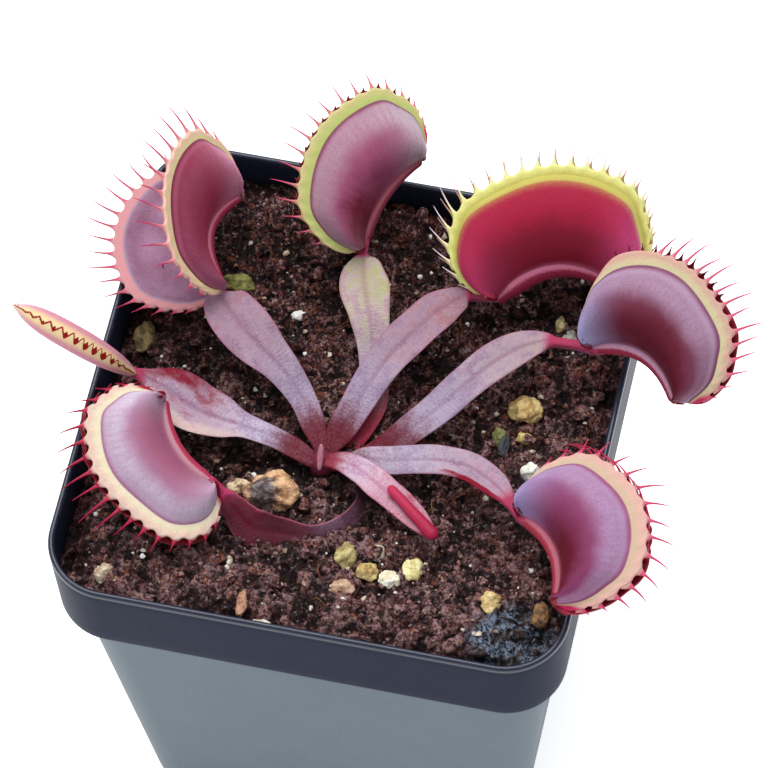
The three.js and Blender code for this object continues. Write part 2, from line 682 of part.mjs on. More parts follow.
stoneEntries.forEach(([name, size], index) => {
  addPiece(name, stoneSolid(index, size, 0), material(colors.stone, 0.85));
});
addPiece('dead_leaf_scrap', scrapSolid(0), material(colors.scrap, 0.9));

export default model;
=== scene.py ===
"""Potted Venus flytrap: the looks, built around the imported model."""

import functools
import json
import math

import bmesh
import bpy
import numpy as np
from bpy.props import FloatProperty, FloatVectorProperty, IntProperty, PointerProperty
from mathutils import Matrix, Vector


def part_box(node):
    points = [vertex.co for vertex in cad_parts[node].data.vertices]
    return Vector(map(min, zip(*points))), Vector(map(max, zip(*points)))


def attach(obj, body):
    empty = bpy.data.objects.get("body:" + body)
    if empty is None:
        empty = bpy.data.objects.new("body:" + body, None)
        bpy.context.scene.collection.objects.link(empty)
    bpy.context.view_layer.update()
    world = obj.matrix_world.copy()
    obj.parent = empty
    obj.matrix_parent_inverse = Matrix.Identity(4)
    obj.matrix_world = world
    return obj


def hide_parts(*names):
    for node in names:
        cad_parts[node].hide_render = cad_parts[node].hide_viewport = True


bl_info = {
    "name": "Potted Venus flytrap",
    "version": (1, 0, 0),
    "blender": (4, 5, 0),
    "location": "View3D > Sidebar > Flytrap",
    "description": "Builds a potted Venus flytrap piece by piece around its packed model",
    "category": "Object",
}

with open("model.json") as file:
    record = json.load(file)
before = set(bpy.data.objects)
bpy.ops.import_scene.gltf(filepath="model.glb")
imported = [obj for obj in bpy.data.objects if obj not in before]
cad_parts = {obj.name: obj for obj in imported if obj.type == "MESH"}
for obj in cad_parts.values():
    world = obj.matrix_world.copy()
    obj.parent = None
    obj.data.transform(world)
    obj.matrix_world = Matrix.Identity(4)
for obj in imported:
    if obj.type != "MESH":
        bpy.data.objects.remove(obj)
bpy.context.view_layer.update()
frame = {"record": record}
SLOTS = {row["node"]: row["material_slot"] for row in frame["record"]["subparts"]}

MM = 0.001
POT_LOW, POT_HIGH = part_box("pot")


def linear(code):
    """Linear colour of a hex code."""
    values = [int(code[i : i + 2], 16) / 255 for i in (0, 2, 4)]
    return tuple(v / 12.92 if v <= 0.04045 else ((v + 0.055) / 1.055) ** 2.4 for v in values)


def colour(name, code, description):
    """A colour property with its default given as a hex code."""
    return FloatVectorProperty(
        name=name, description=description, subtype="COLOR", size=3, min=0, max=1, default=linear(code)
    )


def number(name, default, description, **kind):
    """A number property, with the unit or subtype that fits it."""
    return FloatProperty(name=name, description=description, default=default, **kind)


def length(name, default, description):
    """A length property whose default is given in millimetres."""
    return number(name, default * MM, description, subtype="DISTANCE", unit="LENGTH", min=0)


def degrees(name, value, description):
    """An angle property whose default is given in degrees."""
    return number(name, math.radians(value), description, subtype="ANGLE", unit="ROTATION")


def tally(name, default, description, low=0):
    """A property that counts pieces."""
    return IntProperty(name=name, description=description, default=default, min=low)


# Settings


class PotSettings(bpy.types.PropertyGroup):
    """Sizes and colours of the pot."""

    rim_width: length("Rim width", 1000 * (POT_HIGH.x - POT_LOW.x), "Outer width of the rim")
    height: length("Height", 1000 * POT_HIGH.z, "Height of the rim above the ground")
    rim_radius: length("Rim radius", 11, "Corner radius of the rim, seen from above")
    band_height: length("Band height", 18.2, "Height of the wide band round the mouth")
    foot_width: length("Foot width", 69.4, "Outer width of the foot")
    body_width: length("Body width", 83.2, "Outer width of the body just under the band")
    wall: length("Wall", 1.1, "Thickness of the wall")
    band_colour: colour("Band colour", "1b2034", "Colour of the plastic band")
    # The body's colour holds a painted reflection: it is paler than the plastic, standing for the white floor mirrored
    # in it.
    body_colour_and_reflection: colour("Body colour", "657077", "Colour of the plastic body, paler from its fine grain")


class SoilSettings(bpy.types.PropertyGroup):
    """Colours and fineness of the soil."""

    cells: tally("Cells", 264, "Cells across the soil's surface", 20)
    crumbs: tally("Crumbs", 380, "Number of loose crumbs")
    bits: tally("Bits", 2000, "Number of small angular bits")
    fibres: tally("Fibres", 330, "Number of fibres")
    grains: tally("Grains", 620, "Number of small pale grains")
    peat_colour: colour("Peat", "6c3e3e", "Main colour of the peat")
    # Darkest peat, also used as the painted shade that fills the hollows between the clods.
    dark_and_shade_colour: colour("Wet peat", "120607", "Colour of the wet hollows")
    rust_colour: colour("Rusty peat", "904c34", "Colour of the fibrous red brown parts")
    grey_colour: colour("Dusty peat", "b08c8c", "Colour of the drier crumbs")


class LeafSettings(bpy.types.PropertyGroup):
    """Colours of the leaf stalks."""

    lilac_colour: colour("Lilac", "baa8b8", "Waxy bloom on the blade")
    mauve_colour: colour("Mauve", "845870", "Blade under the bloom")
    margin_colour: colour("Margin", "a86880", "Thin edge of the blade")
    base_colour: colour("Base", "640818", "Blade where it leaves the crown")
    neck_colour: colour("Neck", "a83c5c", "Round neck between blade and trap")


class TrapSettings(bpy.types.PropertyGroup):
    """Sizes of the traps."""

    wall: length("Lobe thickness", 0.75, "Thickness of a lobe")
    flange: length("Flange width", 2.4, "Width of the pale flange along the margin")
    midrib: length("Midrib radius", 1.1, "Radius of the midrib at its root")


class StageSettings(bpy.types.PropertyGroup):
    """Camera, floor and light."""

    azimuth: degrees("Azimuth", 16.36, "Camera's turn round the pot")
    elevation: degrees("Elevation", 61.16, "Camera's height angle")
    roll: degrees("Roll", -4.25, "Camera's roll")
    distance: length("Distance", 904, "Camera's distance from its target")
    lens: number("Lens", 246.9, "Focal length on a 36 mm sensor", unit="CAMERA")
    floor_colour: colour("Floor", "f4f4f4", "Pale floor")
    floor_glow: number("Floor glow", 0.6, "Light that the white table gives back")
    world_strength: number("World strength", 0.56, "Light from all round")
    key_power: number("Key power", 13.5, "Power of the large overhead light", unit="POWER")
    fill_power: number("Fill power", 2, "Power of the side light", unit="POWER")


# Shapes and looks

# Keys of the stalks: x, y, z and blade width in millimetres, and bank in degrees.
STALKS = {
    "upper_right": [
        (-2.2, -6.4, 89.6, 3.2, 5), (-1.3, -4.1, 91.0, 5.0, 8), (0.6, 0.1, 93.5, 5.6, 8),
        (2.5, 4.6, 95.5, 6.0, 8), (4.8, 9.1, 97.0, 6.8, 8), (7.7, 13.5, 98.0, 7.5, 5),
        (10.8, 17.9, 98.5, 7.2, 0), (14.0, 21.2, 98.5, 4.0, 0), (16.1, 22.4, 98.5, 1.8, 0),
        (20.6, 23.0, 98.9, 1.6, 0),
    ],
    "front": [
        (-1.4, -10.2, 91.2, 3.0, 0), (1.1, -10.6, 92.4, 4.2, 0), (4.9, -12.6, 93.6, 4.9, 0),
        (8.5, -15.2, 94.4, 5.4, 0), (12.0, -17.4, 94.8, 4.9, 0), (15.3, -19.8, 95.0, 3.9, 0),
        (17.5, -21.4, 94.9, 2.6, 0), (18.7, -22.3, 95.0, 1.8, 0),
    ],
    "upper_left": [
        (-4.3, -7.0, 89.5, 2.8, 0), (-6.2, -3.8, 91.0, 4.2, -5), (-9.0, 0.2, 92.6, 4.7, -8),
        (-13.2, 3.5, 95.6, 6.2, -8), (-18.0, 6.1, 98.2, 8.6, -5), (-22.4, 9.2, 99.8, 9.4, 0),
        (-25.3, 12.0, 100.2, 6.6, 0), (-26.2, 13.5, 100.5, 2.0, 0), (-26.1, 14.3, 100.9, 1.6, 0),
    ],
    "left": [
        (-5.6, -9.8, 90.0, 3.2, 0), (-8.0, -9.2, 91.1, 4.0, 8), (-12.0, -8.4, 92.4, 4.4, 10),
        (-16.5, -8.0, 93.5, 5.4, 10), (-21.0, -7.8, 94.5, 8.0, 8), (-26.1, -7.1, 95.6, 10.2, 5),
        (-30.8, -5.3, 97.0, 8.2, 0), (-34.6, -4.6, 98.4, 2.8, 0), (-37.7, -4.6, 100.2, 1.6, 0),
    ],
    "lower_right": [
        (1.0, -8.9, 89.4, 3.0, 0), (4.0, -8.5, 91.0, 4.4, 5), (8.7, -8.7, 92.5, 5.2, 8),
        (13.3, -8.4, 94.0, 5.2, 8), (18.1, -8.5, 95.5, 5.3, 8), (22.8, -9.4, 96.5, 5.3, 8),
        (27.0, -11.7, 97.2, 4.8, 5), (29.9, -14.2, 97.7, 2.6, 0), (31.3, -16.0, 98.4, 1.8, 0),
        (33.6, -19.1, 101.1, 1.6, 0),
    ],
    "right": [
        (2.4, -7.4, 88.4, 3.0, 0), (7.2, -4.8, 90.3, 4.8, 5), (11.2, -1.7, 93.0, 5.5, 8),
        (15.0, 1.9, 95.0, 5.8, 8), (18.5, 5.8, 97.0, 6.1, 8), (22.2, 9.8, 98.5, 6.7, 8),
        (26.4, 13.3, 99.5, 6.2, 5), (30.0, 15.0, 100.0, 3.2, 0), (32.4, 15.3, 100.5, 1.7, 0),
        (35.8, 14.9, 101.6, 1.6, 0), (39.0, 14.0, 102.8, 1.6, 0),
    ],
    "top": [
        (0.6, -6.0, 88.0, 2.8, 0), (3.0, 1.5, 90.3, 4.6, 0), (2.1, 7.0, 91.5, 4.9, 0),
        (0.9, 12.0, 93.5, 5.5, 0), (-0.7, 16.5, 96.0, 7.1, 0), (-2.6, 21.2, 97.5, 8.7, 0),
        (-3.5, 24.8, 98.1, 5.2, 0), (-4.0, 26.6, 98.6, 1.8, 0), (-4.1, 28.2, 99.4, 1.6, 0),
    ],
    "lower_left": [
        (3.4, -12.4, 87.8, 2.8, -30), (5.2, -16.2, 89.0, 4.4, -50), (2.9, -21.0, 89.4, 4.6, -55),
        (-1.4, -24.2, 89.9, 4.8, -55), (-6.5, -24.8, 91.0, 5.8, -55), (-11.3, -25.6, 92.3, 7.6, -50),
        (-14.9, -23.8, 94.4, 4.0, -40), (-17.4, -22.3, 96.4, 1.8, -15), (-19.1, -21.8, 98.2, 1.6, 0),
    ],
}

# Looks of the blades where they differ from the plain lilac one. Bloom is how thick the wax lies, flush and fold are
# the side, 1 or -1, of a red flush and of a red rolled margin, and short is how much shorter the dark base is.
BLADE_LOOKS = {
    "upper_right": {"tip": "985c5c", "bloom": 0.82},
    "front": {
        "lilac": "e2d0d8", "mauve": "a85078", "margin": "a02c4c", "tip": "9c2444", "base": "84142c", "bloom": 0.8,
    },
    "upper_left": {"lilac": "bcaabb", "tip": "986470", "bloom": 0.85},
    "left": {"lilac": "d4c6d4", "mauve": "7c4c70", "tip": "94485c", "bloom": 1.0, "flush": -1.0, "short": -0.05},
    "lower_right": {"lilac": "c4b6c4", "tip": "a8728a", "bloom": 0.9, "fold": -1.0, "short": 0.1},
    "right": {"tip": "a89084", "bloom": 0.9},
    "top": {"lilac": "ccbcbc", "mauve": "a47888", "margin": "a87a78", "tip": "a4a858", "base": "9a1838", "bloom": 0.9},
    "lower_left": {
        "lilac": "7c5464", "mauve": "661c2c", "margin": "b45c70", "tip": "74182c", "base": "3c2430", "neck": "b43c64",
        "bloom": 0.55,
    },
}

# What a trap has unless its own row says otherwise.
PLAIN_TRAP = {
    "open": 0, "skew": 0, "fat": 0.9, "far_reach": 1, "midrib": 1, "fade": 0.16, "streaks": 0.15, "specks": 0.03,
    "ridge": 0.74, "shoulder": 0.2, "shadow": 0.8, "hem": 0.478,
}

# Traps, in millimetres and degrees. Root, angles, chord, sag, height and outline (over_near, over_far, skew) are those
# of the solids. Open is a lobe's turn from the middle, fat and blunt are the pillow's thickness and ends, and far_reach
# is the far lobe's size as a share of the near one's. Flanged is where the pale flange starts and ends along the
# margin, width how wide it is and fade how slowly it starts. Near and far are the teeth of the lobe that faces up and
# of the other one: count, first and last share of the margin, lengths on the way, bend to the other lobe and drift
# along the margin on the way. Slim and broad are a tooth's width and that of its root. Seam is the number of zigzags
# of a closed trap. Heart is the dark patch's place along and up the lobe and its reach. Blooms are the pale bloom at
# the root, at the tip and on the ridge, which lies at ridge: partly the wax's own paleness and partly painted light,
# and the bluish root colours of two traps are a painted reflection of the sky. Shoulder is a painted highlight on the
# slope just under the crease. Soft is where a flange without a crease begins and is full. Hem is how far from the
# middle the dark ends of the margin start, shadow how dark the teeth are on their inner side, and midrib, streaks and
# specks are how strong each of them is.
TRAP_ROWS = {
    "upper_left": dict(
        root=(-26.1, 14.4, 101), heading=94, climb=0, lean=-64, chord=17.7, sag=4.1, height=21,
        over_near=5, over_far=5.1, skew=1.2, open=40, fat=0.62, blunt=(1.8, 1.5),
        flanged=(-0.02, 0.96), width=0.78, slim=0.6, broad=0.85,
        near=(16, 0.1, 0.86, (1, 3, 6.5, 7.2, 7, 6.6, 6, 4.5, 2), 12, (-0.35, -0.15, -0.2, -0.5)),
        far=(20, 0.06, 0.9, (1, 2.2, 4, 5, 6, 6.5, 6.5, 6, 5), -20, (0, 0.3, 0.6, 0.6)),
        heart=(0.35, 0.8, 0.48), blooms=(0.3, 1.0, 0.12), streaks=0.2, specks=0.1,
        dark="7c2440", middle="98304c", bloom="c8849e", crease="7c2c48", flange="dccc94", edge="e8bca4",
        tooth_root="e08890", tooth_tip="c02a5c", far_root="d87484", far_tip="b42a58", band="b8687c", keel="8c2440",
        inner="80506a", inner_bloom="a48098", inner_crease="a48c9c", inner_flange="cc8c8c", gap="8a2038",
    ),
    "top": dict(
        root=(-4.1, 28.5, 99.5), heading=64, climb=22, lean=-59, chord=17.2, sag=1.7, height=18.1,
        over_near=4.9, over_far=6, skew=2.7, blunt=(3, 2.5), far_reach=0.99,
        flanged=(0.02, 0.97), width=0.87, slim=0.5, broad=0.6,
        near=(17, 0.12, 0.92, (2, 3, 4.6, 5, 5, 4.4, 4, 3.2, 2.8, 1.6, 1), 20, (-0.25, -0.15, 0, 0.5)),
        far=(17, 0.1, 0.92, (1.2, 1.6, 1.2, 1, 1.4, 1.6, 1.2), 30, (0.4, 0.5)),
        heart=(0.2, 0.2, 0.5), blooms=(0.15, 1.15, 0.6), ridge=0.86, streaks=0.25, specks=0.04, midrib=0.88, hem=0.462,
        dark="681c30", middle="944c6c", bloom="b49ca8", crease="7c3c50", flange="b8c270", edge="ccc084",
        tooth_root="c87c78", tooth_tip="cc3c6c", far_root="84302c", far_tip="9c3048", band="9c5460", keel="7c3040",
        inner="5a0c14", inner_bloom="6a1018", inner_flange="6c2420", gap="7c1c18",
    ),
    "upper_right": dict(
        root=(21, 23.1, 99), heading=12, climb=6, lean=-53, chord=21.1, sag=4.5, height=22,
        over_near=7.9, over_far=5.4, blunt=(3, 3), far_reach=0.98,
        flanged=(-0.06, 1.06), width=0.92, slim=0.5, broad=0.72,
        near=(23, 0.05, 0.95, (2, 4, 5.5, 5.5, 4.5, 4, 4, 4, 4, 3.5, 3, 2), 15, (0.4, 0.4, 0.1, 0)),
        far=(22, 0.05, 0.95, (3, 4, 4.5, 3.6, 3, 3, 3), 15, (0.5, 0.2, 0.1)), soft=(0.91, 1.15),
        heart=(0.4, 0.25, 0.5), blooms=(0.4, 1.2, 0.0), midrib=1.8,
        dark="861c30", middle="a21e3c", bloom="c04c80", crease="9c1a34", flange="bcb45c", edge="e0dc8c",
        tooth_root="e4dca0", tooth_tip="e8ccd0", far_root="d0c47c", far_tip="e0b8b4", band="c8708c", keel="88243e",
        inner="7a1018", inner_bloom="8c1a20", inner_crease="b8a050", inner_flange="ccb864", gap="902a20",
    ),
    "right": dict(
        root=(39.4, 13.9, 103), heading=-27, climb=4, lean=-57, chord=17.2, sag=3.5, height=20.7,
        over_near=4.5, over_far=6.9, skew=-1.9, blunt=(4, 2.5),
        flanged=(0.19, 0.97), width=0.96, slim=0.66, broad=0.75,
        near=(14, 0.38, 0.93, (4, 5, 5.4, 5.6, 5.2, 5, 4.4, 3, 1.4), 15, (0.8, 0.55, 0.3, 0.15, 0.1)),
        far=(13, 0.12, 0.6, (2.2, 2.4, 2.4, 2.6, 2.6), 40, (-0.2, 0.2, 0.8)),
        heart=(0.66, 0.25, 0.7), blooms=(1.0, -0.4, 0.62), ridge=0.84,
        shoulder=0.45, hem=0.452, root_bloom_and_reflection="a09cc4",
        dark="5c1828", middle="743c54", bloom="b89cb6", crease="7c4060", flange="c8bc94", edge="cca090",
        tooth_root="d06c80", tooth_tip="c42c5c", far_root="7c1c2c", far_tip="6c1c30", band="b4849c", keel="8c2840",
        inner="6a0e20", inner_bloom="7c1428", inner_flange="7c1a28", gap="6a1018",
    ),
    "lower_right": dict(
        root=(33.9, -19.6, 101.5), heading=-59, climb=-1, lean=-72, chord=16.6, sag=2.9, height=20,
        over_near=5.9, over_far=4.4, skew=-1.4, blunt=(4, 2.5),
        flanged=(-0.05, 1.0), fade=0.5, width=1.15, slim=0.66, broad=0.7,
        near=(17, 0.1, 0.95, (1, 2.4, 3.6, 4, 4.6, 5, 5, 5, 4.6, 3.6, 2, 1), 12, (-0.2, -0.1, 0.7, 0.9, 0.8, 0.5)),
        far=(13, 0.22, 0.66, (4, 5.5, 6, 6, 5, 4, 3), 112, (-0.6, -1.2, -1.4)),
        heart=(0.66, 0.1, 0.47), blooms=(0.95, -0.45, 0.8), ridge=0.83, shadow=0.2,
        shoulder=0.4, root_bloom_and_reflection="a094c0",
        dark="601828", middle="843c64", bloom="b898bc", crease="985070", flange="c8ae94", edge="d8a89c",
        tooth_root="d05c78", tooth_tip="c02456", far_root="c43c5c", far_tip="bc2850", band="ac6070", keel="983040",
        inner="7c1426", inner_bloom="8c1c30", inner_flange="842030", gap="7c1a20",
    ),
    "lower_left": dict(
        root=(-19.4, -21.7, 98.5), heading=134, climb=18, lean=-92, chord=15.9, sag=2.2, height=16.5,
        over_near=7.7, over_far=5.3, skew=1.4, blunt=(4, 3), far_reach=1.03,
        flanged=(-0.02, 1.03), width=1.05, slim=0.68, broad=0.9,
        near=(19, 0.06, 0.92, (1.6, 2.2, 2.4, 3, 5, 6.4, 6.4, 6, 5, 4, 3, 2), 12, (0, 0, 0.2, -0.1, -0.4, -0.5, -0.3)),
        far=(16, 0.3, 0.95, (2, 3, 3.4, 3.6, 3.6, 3, 2.4), 100, (0.2, 0.9, 1.0, 0.6)),
        heart=(0.5, 0.15, 0.5), blooms=(0.5, 0.5, 0.82), ridge=0.8, streaks=0.25, shadow=0.5,
        dark="9c5a74", middle="a06c88", bloom="c8b8cc", crease="9c6488", flange="e0d4b4", edge="e0bcac",
        tooth_root="b83450", tooth_tip="981438", far_root="982038", far_tip="901c38", band="c08c98", keel="a83450",
        inner="7c1020", inner_bloom="8c1626", inner_flange="7c1820", gap="8c1c20",
    ),
    "left": dict(
        root=(-38, -4.6, 100.5), heading=169, climb=22, lean=-24, chord=21.9, sag=2, height=11.5,
        fat=0.2, seam=18, flanged=(-0.3, 1.3), width=0.9,
        heart=(0.2, 0.0, 0.3), blooms=(0.1, 0.3, 0.3), streaks=0.1, specks=0.05, soft=(1.5, 2.0), hem=0.6,
        dark="b4646c", middle="cc8898", bloom="e4c4cc", crease="d8b090", flange="e0c094", edge="e8cc98",
        tooth_root="e0c488", tooth_tip="dcb888", far_root="e0c488", far_tip="dcb888", band="dca890", keel="dca090",
        inner="e4bcac", inner_bloom="e4bcac", inner_flange="e4bcac", gap="8c1010",
    ),
}
TRAPS = {name: {**PLAIN_TRAP, **row} for name, row in TRAP_ROWS.items()}

# Places in millimetres: the young pod from tip to end, the crown, the scrap of old leaf and the soaked patch of soil.
YOUNG_TIP, YOUNG_END, YOUNG_RADIUS = (18.9, -22.7, 96.2), (9.9, -15.5, 96.4), 1.25
CROWN = (-3.4, -9.6, 91.4)
SCRAP = (14.6, -3.4)
SOAKED_SPOT = (36, -39)

# Stones that stand for a solid: x, y, half sizes, colour, darker colour and, where it has one, a painted shadow's x, y
# and radius.
STONES = {
    "grit_tan_lump": (-10.3, -17.4, 4.2, 3.2, 3.0, "ecc094", "b07c50", (-11.6, -18.4, 2.6)),
    "grit_cream_by_lump": (-16.0, -17.6, 2.0, 1.6, 1.6, "ecd4b0", "9a7048"),
    "grit_front_ochre": (5.1, -27.6, 1.8, 2.3, 1.6, "c8bc80", "8c7444"),
    "grit_front_amber": (9.2, -29.6, 1.9, 1.9, 1.5, "e0cc88", "a8844c"),
    "grit_front_cream": (13.0, -30.4, 1.7, 1.6, 1.5, "ffffec", "dccca4"),
    "grit_front_yellow": (16.6, -27.6, 1.6, 1.8, 1.4, "f0e8b0", "c4b470"),
    "grit_lower_right_yellow": (31.0, -31.5, 1.8, 1.7, 1.5, "ecd49c", "c8a868"),
    "grit_lower_right_tan": (39.6, -32.6, 1.5, 2.3, 1.7, "a47848", "5c4430"),
    "grit_right_yellow": (29.3, 6.8, 2.8, 2.6, 1.9, "e8d090", "b88c4c"),
    "grit_upper_left_olive": (-39.0, 8.2, 2.4, 2.6, 1.9, "9c8858", "544c30"),
}

# Smaller stones, bits of bark and moss that only the scene has.
SMALL_STONES = {
    "grain_front_pink": (5.6, -33.4, 2.0, 1.3, 1.2, "ecc4a8", "9c7858"),
    "grain_quartz_left": (-34.3, -39.2, 1.5, 1.6, 1.3, "dcd0b8", "a88c6c"),
    "grain_right_cream": (32.2, -4.6, 1.7, 1.6, 1.4, "ffffff", "e4e8d4"),
    "grain_slate": (26.6, -0.6, 0.9, 2.3, 1.2, "4c5058", "303238"),
    "grain_front_white": (9.7, -25.5, 1.3, 1.5, 1.1, "faf6ea", "b8a888"),
    "grain_left_white": (-6.4, -42.4, 1.7, 0.9, 0.8, "ece8dc", "bca890"),
    "grain_right_olive": (25.4, 1.2, 1.3, 1.5, 1.2, "94945c", "5c5c30"),
    "grain_right_yellow_small": (29.8, 1.6, 1.6, 1.0, 1.0, "dccc88", "b89850"),
    "grain_right_tan": (30.8, -10.5, 0.9, 1.5, 1.0, "c8ac88", "94785c"),
    "grain_top_yellow": (31.4, 24.4, 1.0, 1.4, 1.0, "d4c494", "988454"),
    "grain_top_white": (33.3, 22.7, 1.2, 1.4, 1.1, "dce0d4", "acb0a0"),
    "moss_upper_left": (-25.9, 21.9, 3.0, 1.6, 1.2, "98944c", "56582c"),
    "perlite_upper_left": (-13.5, 17.7, 1.3, 1.1, 1.0, "ffffff", "dcdccc"),
    "bark_front_left": (-10.2, -39.8, 0.9, 2.2, 0.7, "c49478", "845440"),
}


# Numbers that repeat: every draw comes from a seed, so that each run is the same.

HASH_FACTORS = (0x9E3779B1, 0x85EBCA77, 0xC2B2AE3D, 0x27D4EB2F)
HASH_MIXER = 0xBF58476D1CE4E5B9
HASH_MASK = 0xFFFFFF


def hashed(*numbers):
    """Repeatable values from 0 to 1 for whole numbers or arrays of them."""
    total = np.zeros(np.broadcast(*numbers).shape, dtype=np.uint64)
    with np.errstate(over="ignore"):
        for value, factor in zip(numbers, HASH_FACTORS):
            whole = np.asarray(value).astype(np.int64).astype(np.uint64)
            total = total * np.uint64(31) + whole * np.uint64(factor)
            total ^= total >> np.uint64(29)
            total *= np.uint64(HASH_MIXER)
            total ^= total >> np.uint64(32)
    return (total & np.uint64(HASH_MASK)).astype(float) / HASH_MASK


def noise(points, size, seed=0):
    """Smooth noise from -1 to 1 over an array of 3-D points, with features of the given size."""
    scaled = np.asarray(points, float) / size
    cell = np.floor(scaled).astype(np.int64)
    share = smooth_step(scaled - cell)
    total = 0
    for corner in np.ndindex(2, 2, 2):
        weight = np.prod(np.where(corner, share, 1 - share), axis=-1)
        total = total + weight * hashed(*np.moveaxis(cell + corner, -1, 0), seed)
    return total * 2 - 1


def clods(x, y, size, seed):
    """Distance to the nearest of scattered points, in cell sizes, and that point's own number."""
    cx, cy = np.floor(x / size).astype(np.int64), np.floor(y / size).astype(np.int64)
    best = np.full(x.shape, 9.0)
    own = np.zeros(x.shape)
    for dx in (-1, 0, 1):
        for dy in (-1, 0, 1):
            cell = cx + dx, cy + dy
            away_x = cell[0] + hashed(*cell, seed) - x / size
            away_y = cell[1] + hashed(*cell, seed + 7) - y / size
            away = np.hypot(away_x, away_y)
            own = np.where(away < best, hashed(*cell, seed + 13), own)
            best = np.minimum(away, best)
    return best, own


def smooth_step(x):
    """0 up to 0, 1 from 1 on, and smooth between them."""
    t = np.clip(x, 0, 1)
    return t * t * (3 - 2 * t)


def smooth_curve(points, share):
    """Points of the smooth curve through the given points, at shares of the way along it."""
    points = np.asarray(points, float)
    if points.ndim == 1:
        return smooth_curve(points[:, None], share)[..., 0]
    padded = np.vstack([2 * points[0] - points[1], points, 2 * points[-1] - points[-2]])
    place = np.clip(np.asarray(share, float), 0, 1) * (len(points) - 1)
    index = np.minimum(place.astype(int), len(points) - 2)
    w = (place - index)[..., None]
    a, b, c, d = (padded[index + k] for k in range(4))
    return 0.5 * (2 * b + (c - a) * w + (2 * a - 5 * b + 4 * c - d) * w**2 + (3 * b - a - 3 * c + d) * w**3)


def unit(v):
    """The vectors at length 1."""
    return v / np.maximum(np.linalg.norm(v, axis=-1, keepdims=True), 1e-9)


def triples(a, b, c):
    """Three numbers, or arrays that fit each other, as one array of triples."""
    return np.stack(np.broadcast_arrays(a, b, c), -1)


def round_angles(count):
    """Even angles round a full turn."""
    return np.linspace(0, 2 * math.pi, count + 1)[:-1]


def length_along(points):
    """How far along a line of points each one lies."""
    steps = np.linalg.norm(np.diff(points, axis=0), axis=1)
    return np.concatenate([[0], np.cumsum(steps)])


def tube(path, across, up, wide, high, angles):
    """Oval rings round a path, with half widths along two axes that may differ from ring to ring."""
    sideways = np.reshape(across, (-1, 1, 3)) * (np.cos(angles) * wide)[..., None]
    return path[:, None] + sideways + np.reshape(up, (-1, 1, 3)) * (np.sin(angles) * high)[..., None]


# Meshes


def placed(name, data):
    """A new object in the scene for a mesh, a light or a camera."""
    made = bpy.data.objects.new(name, data)
    bpy.context.scene.collection.objects.link(made)
    return made


class Shape:
    """The points, faces and surface coordinates of one piece while it is built, in millimetres."""

    def __init__(self):
        self.points, self.faces, self.form, self.part = [], [], [], []
        self.count = 0

    def add(self, points, faces, form=(0, 0, 0), part=(0, 0, 0)):
        """Adds points and faces, with the two coordinates that the materials read."""
        points = np.asarray(points, float).reshape(-1, 3)
        self.points.append(points)
        self.faces += [tuple(int(k) + self.count for k in face) for face in faces]
        self.form.append(np.broadcast_to(np.asarray(form, float), points.shape))
        self.part.append(np.broadcast_to(np.asarray(part, float), points.shape))
        self.count += len(points)

    def loft(self, rings, form=(0, 0, 0), part=(0, 0, 0)):
        """A skin through rings of points, closed at both ends."""
        rings = np.asarray(rings, float)
        rows, columns = rings.shape[:2]
        at = np.arange(rows * columns).reshape(rows, columns)
        right = np.roll(at, -1, axis=1)
        faces = np.stack([at[:-1], right[:-1], right[1:], at[1:]], -1).reshape(-1, 4).tolist()
        layers = [np.broadcast_to(np.asarray(v, float), rings.shape).reshape(-1, 3) for v in (rings, form, part)]
        for row, order in ((at[0], -1), (at[-1], 1)):
            ring, middle = row[::order], len(layers[0])
            layers = [np.vstack([layer, layer[row].mean(0)]) for layer in layers]
            faces += [(ring[k], ring[(k + 1) % columns], middle) for k in range(columns)]
        self.add(layers[0], faces, *layers[1:])

    def moved(self, matrix):
        """Turns and moves all the points by a 4 by 4 matrix."""
        matrix = np.asarray(matrix)
        self.points = [p @ matrix[:3, :3].T + matrix[:3, 3] for p in self.points]
        return self

    def solid(self, name):
        """A plain Blender object of the shape."""
        mesh = bpy.data.meshes.new(name)
        mesh.from_pydata((np.vstack(self.points) * MM).tolist(), [], self.faces)
        return placed(name, mesh)

    def piece(self, name, material, slot, replaces=(), smooth=True):
        """The finished Blender object, riding on the plant's one body."""
        piece = self.solid(name)
        mesh = piece.data
        for key, values in (("form", self.form), ("part", self.part)):
            data = mesh.attributes.new(key, "FLOAT_VECTOR", "POINT").data
            data.foreach_set("vector", np.vstack(values).astype(np.float32).ravel())
        mesh.polygons.foreach_set("use_smooth", [smooth] * len(mesh.polygons))
        mesh.materials.append(material)
        mesh.update()
        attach(piece, "root")
        if replaces:
            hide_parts(*replaces)
        return piece


# Materials

# Sockets of a Mix node that blends colours: its factor, its two colours and its result.
MIX_FACTOR, MIX_FIRST, MIX_SECOND, MIX_RESULT = 0, 6, 7, 2


class Value:
    """A number or colour that varies over a surface. Sums and products of numbers add Math nodes."""

    def __init__(self, paint, socket):
        self.paint, self.socket = paint, socket

    def math(self, operation, *others, flip=False):
        """The result of a Math node on this value and others."""
        inputs = [self, *others][::-1] if flip else [self, *others]
        return self.paint.node("ShaderNodeMath", {"operation": operation}, dict(enumerate(inputs)))

    def __add__(self, other):
        return self.math("ADD", other)

    def __sub__(self, other):
        return self.math("SUBTRACT", other)

    def __rsub__(self, other):
        return self.math("SUBTRACT", other, flip=True)

    def __mul__(self, other):
        return self.math("MULTIPLY", other)

    def __abs__(self):
        return self.math("ABSOLUTE")

    __radd__, __rmul__ = __add__, __mul__

    def step(self, low, high):
        """0 below low, 1 above high and smooth between them; high may be the lower one."""
        if high < low:
            return 1 - self.step(high, low)
        settings = {"interpolation_type": "SMOOTHSTEP"}
        return self.paint.node("ShaderNodeMapRange", settings, {"Value": self, "From Min": low, "From Max": high})

    def bump(self, middle, reach):
        """1 at the middle value, falling to 0 at a reach to both sides."""
        return abs(self - middle).step(reach, 0)

    def clip(self):
        """Kept from 0 to 1."""
        return self.paint.node("ShaderNodeClamp", {}, {"Value": self})


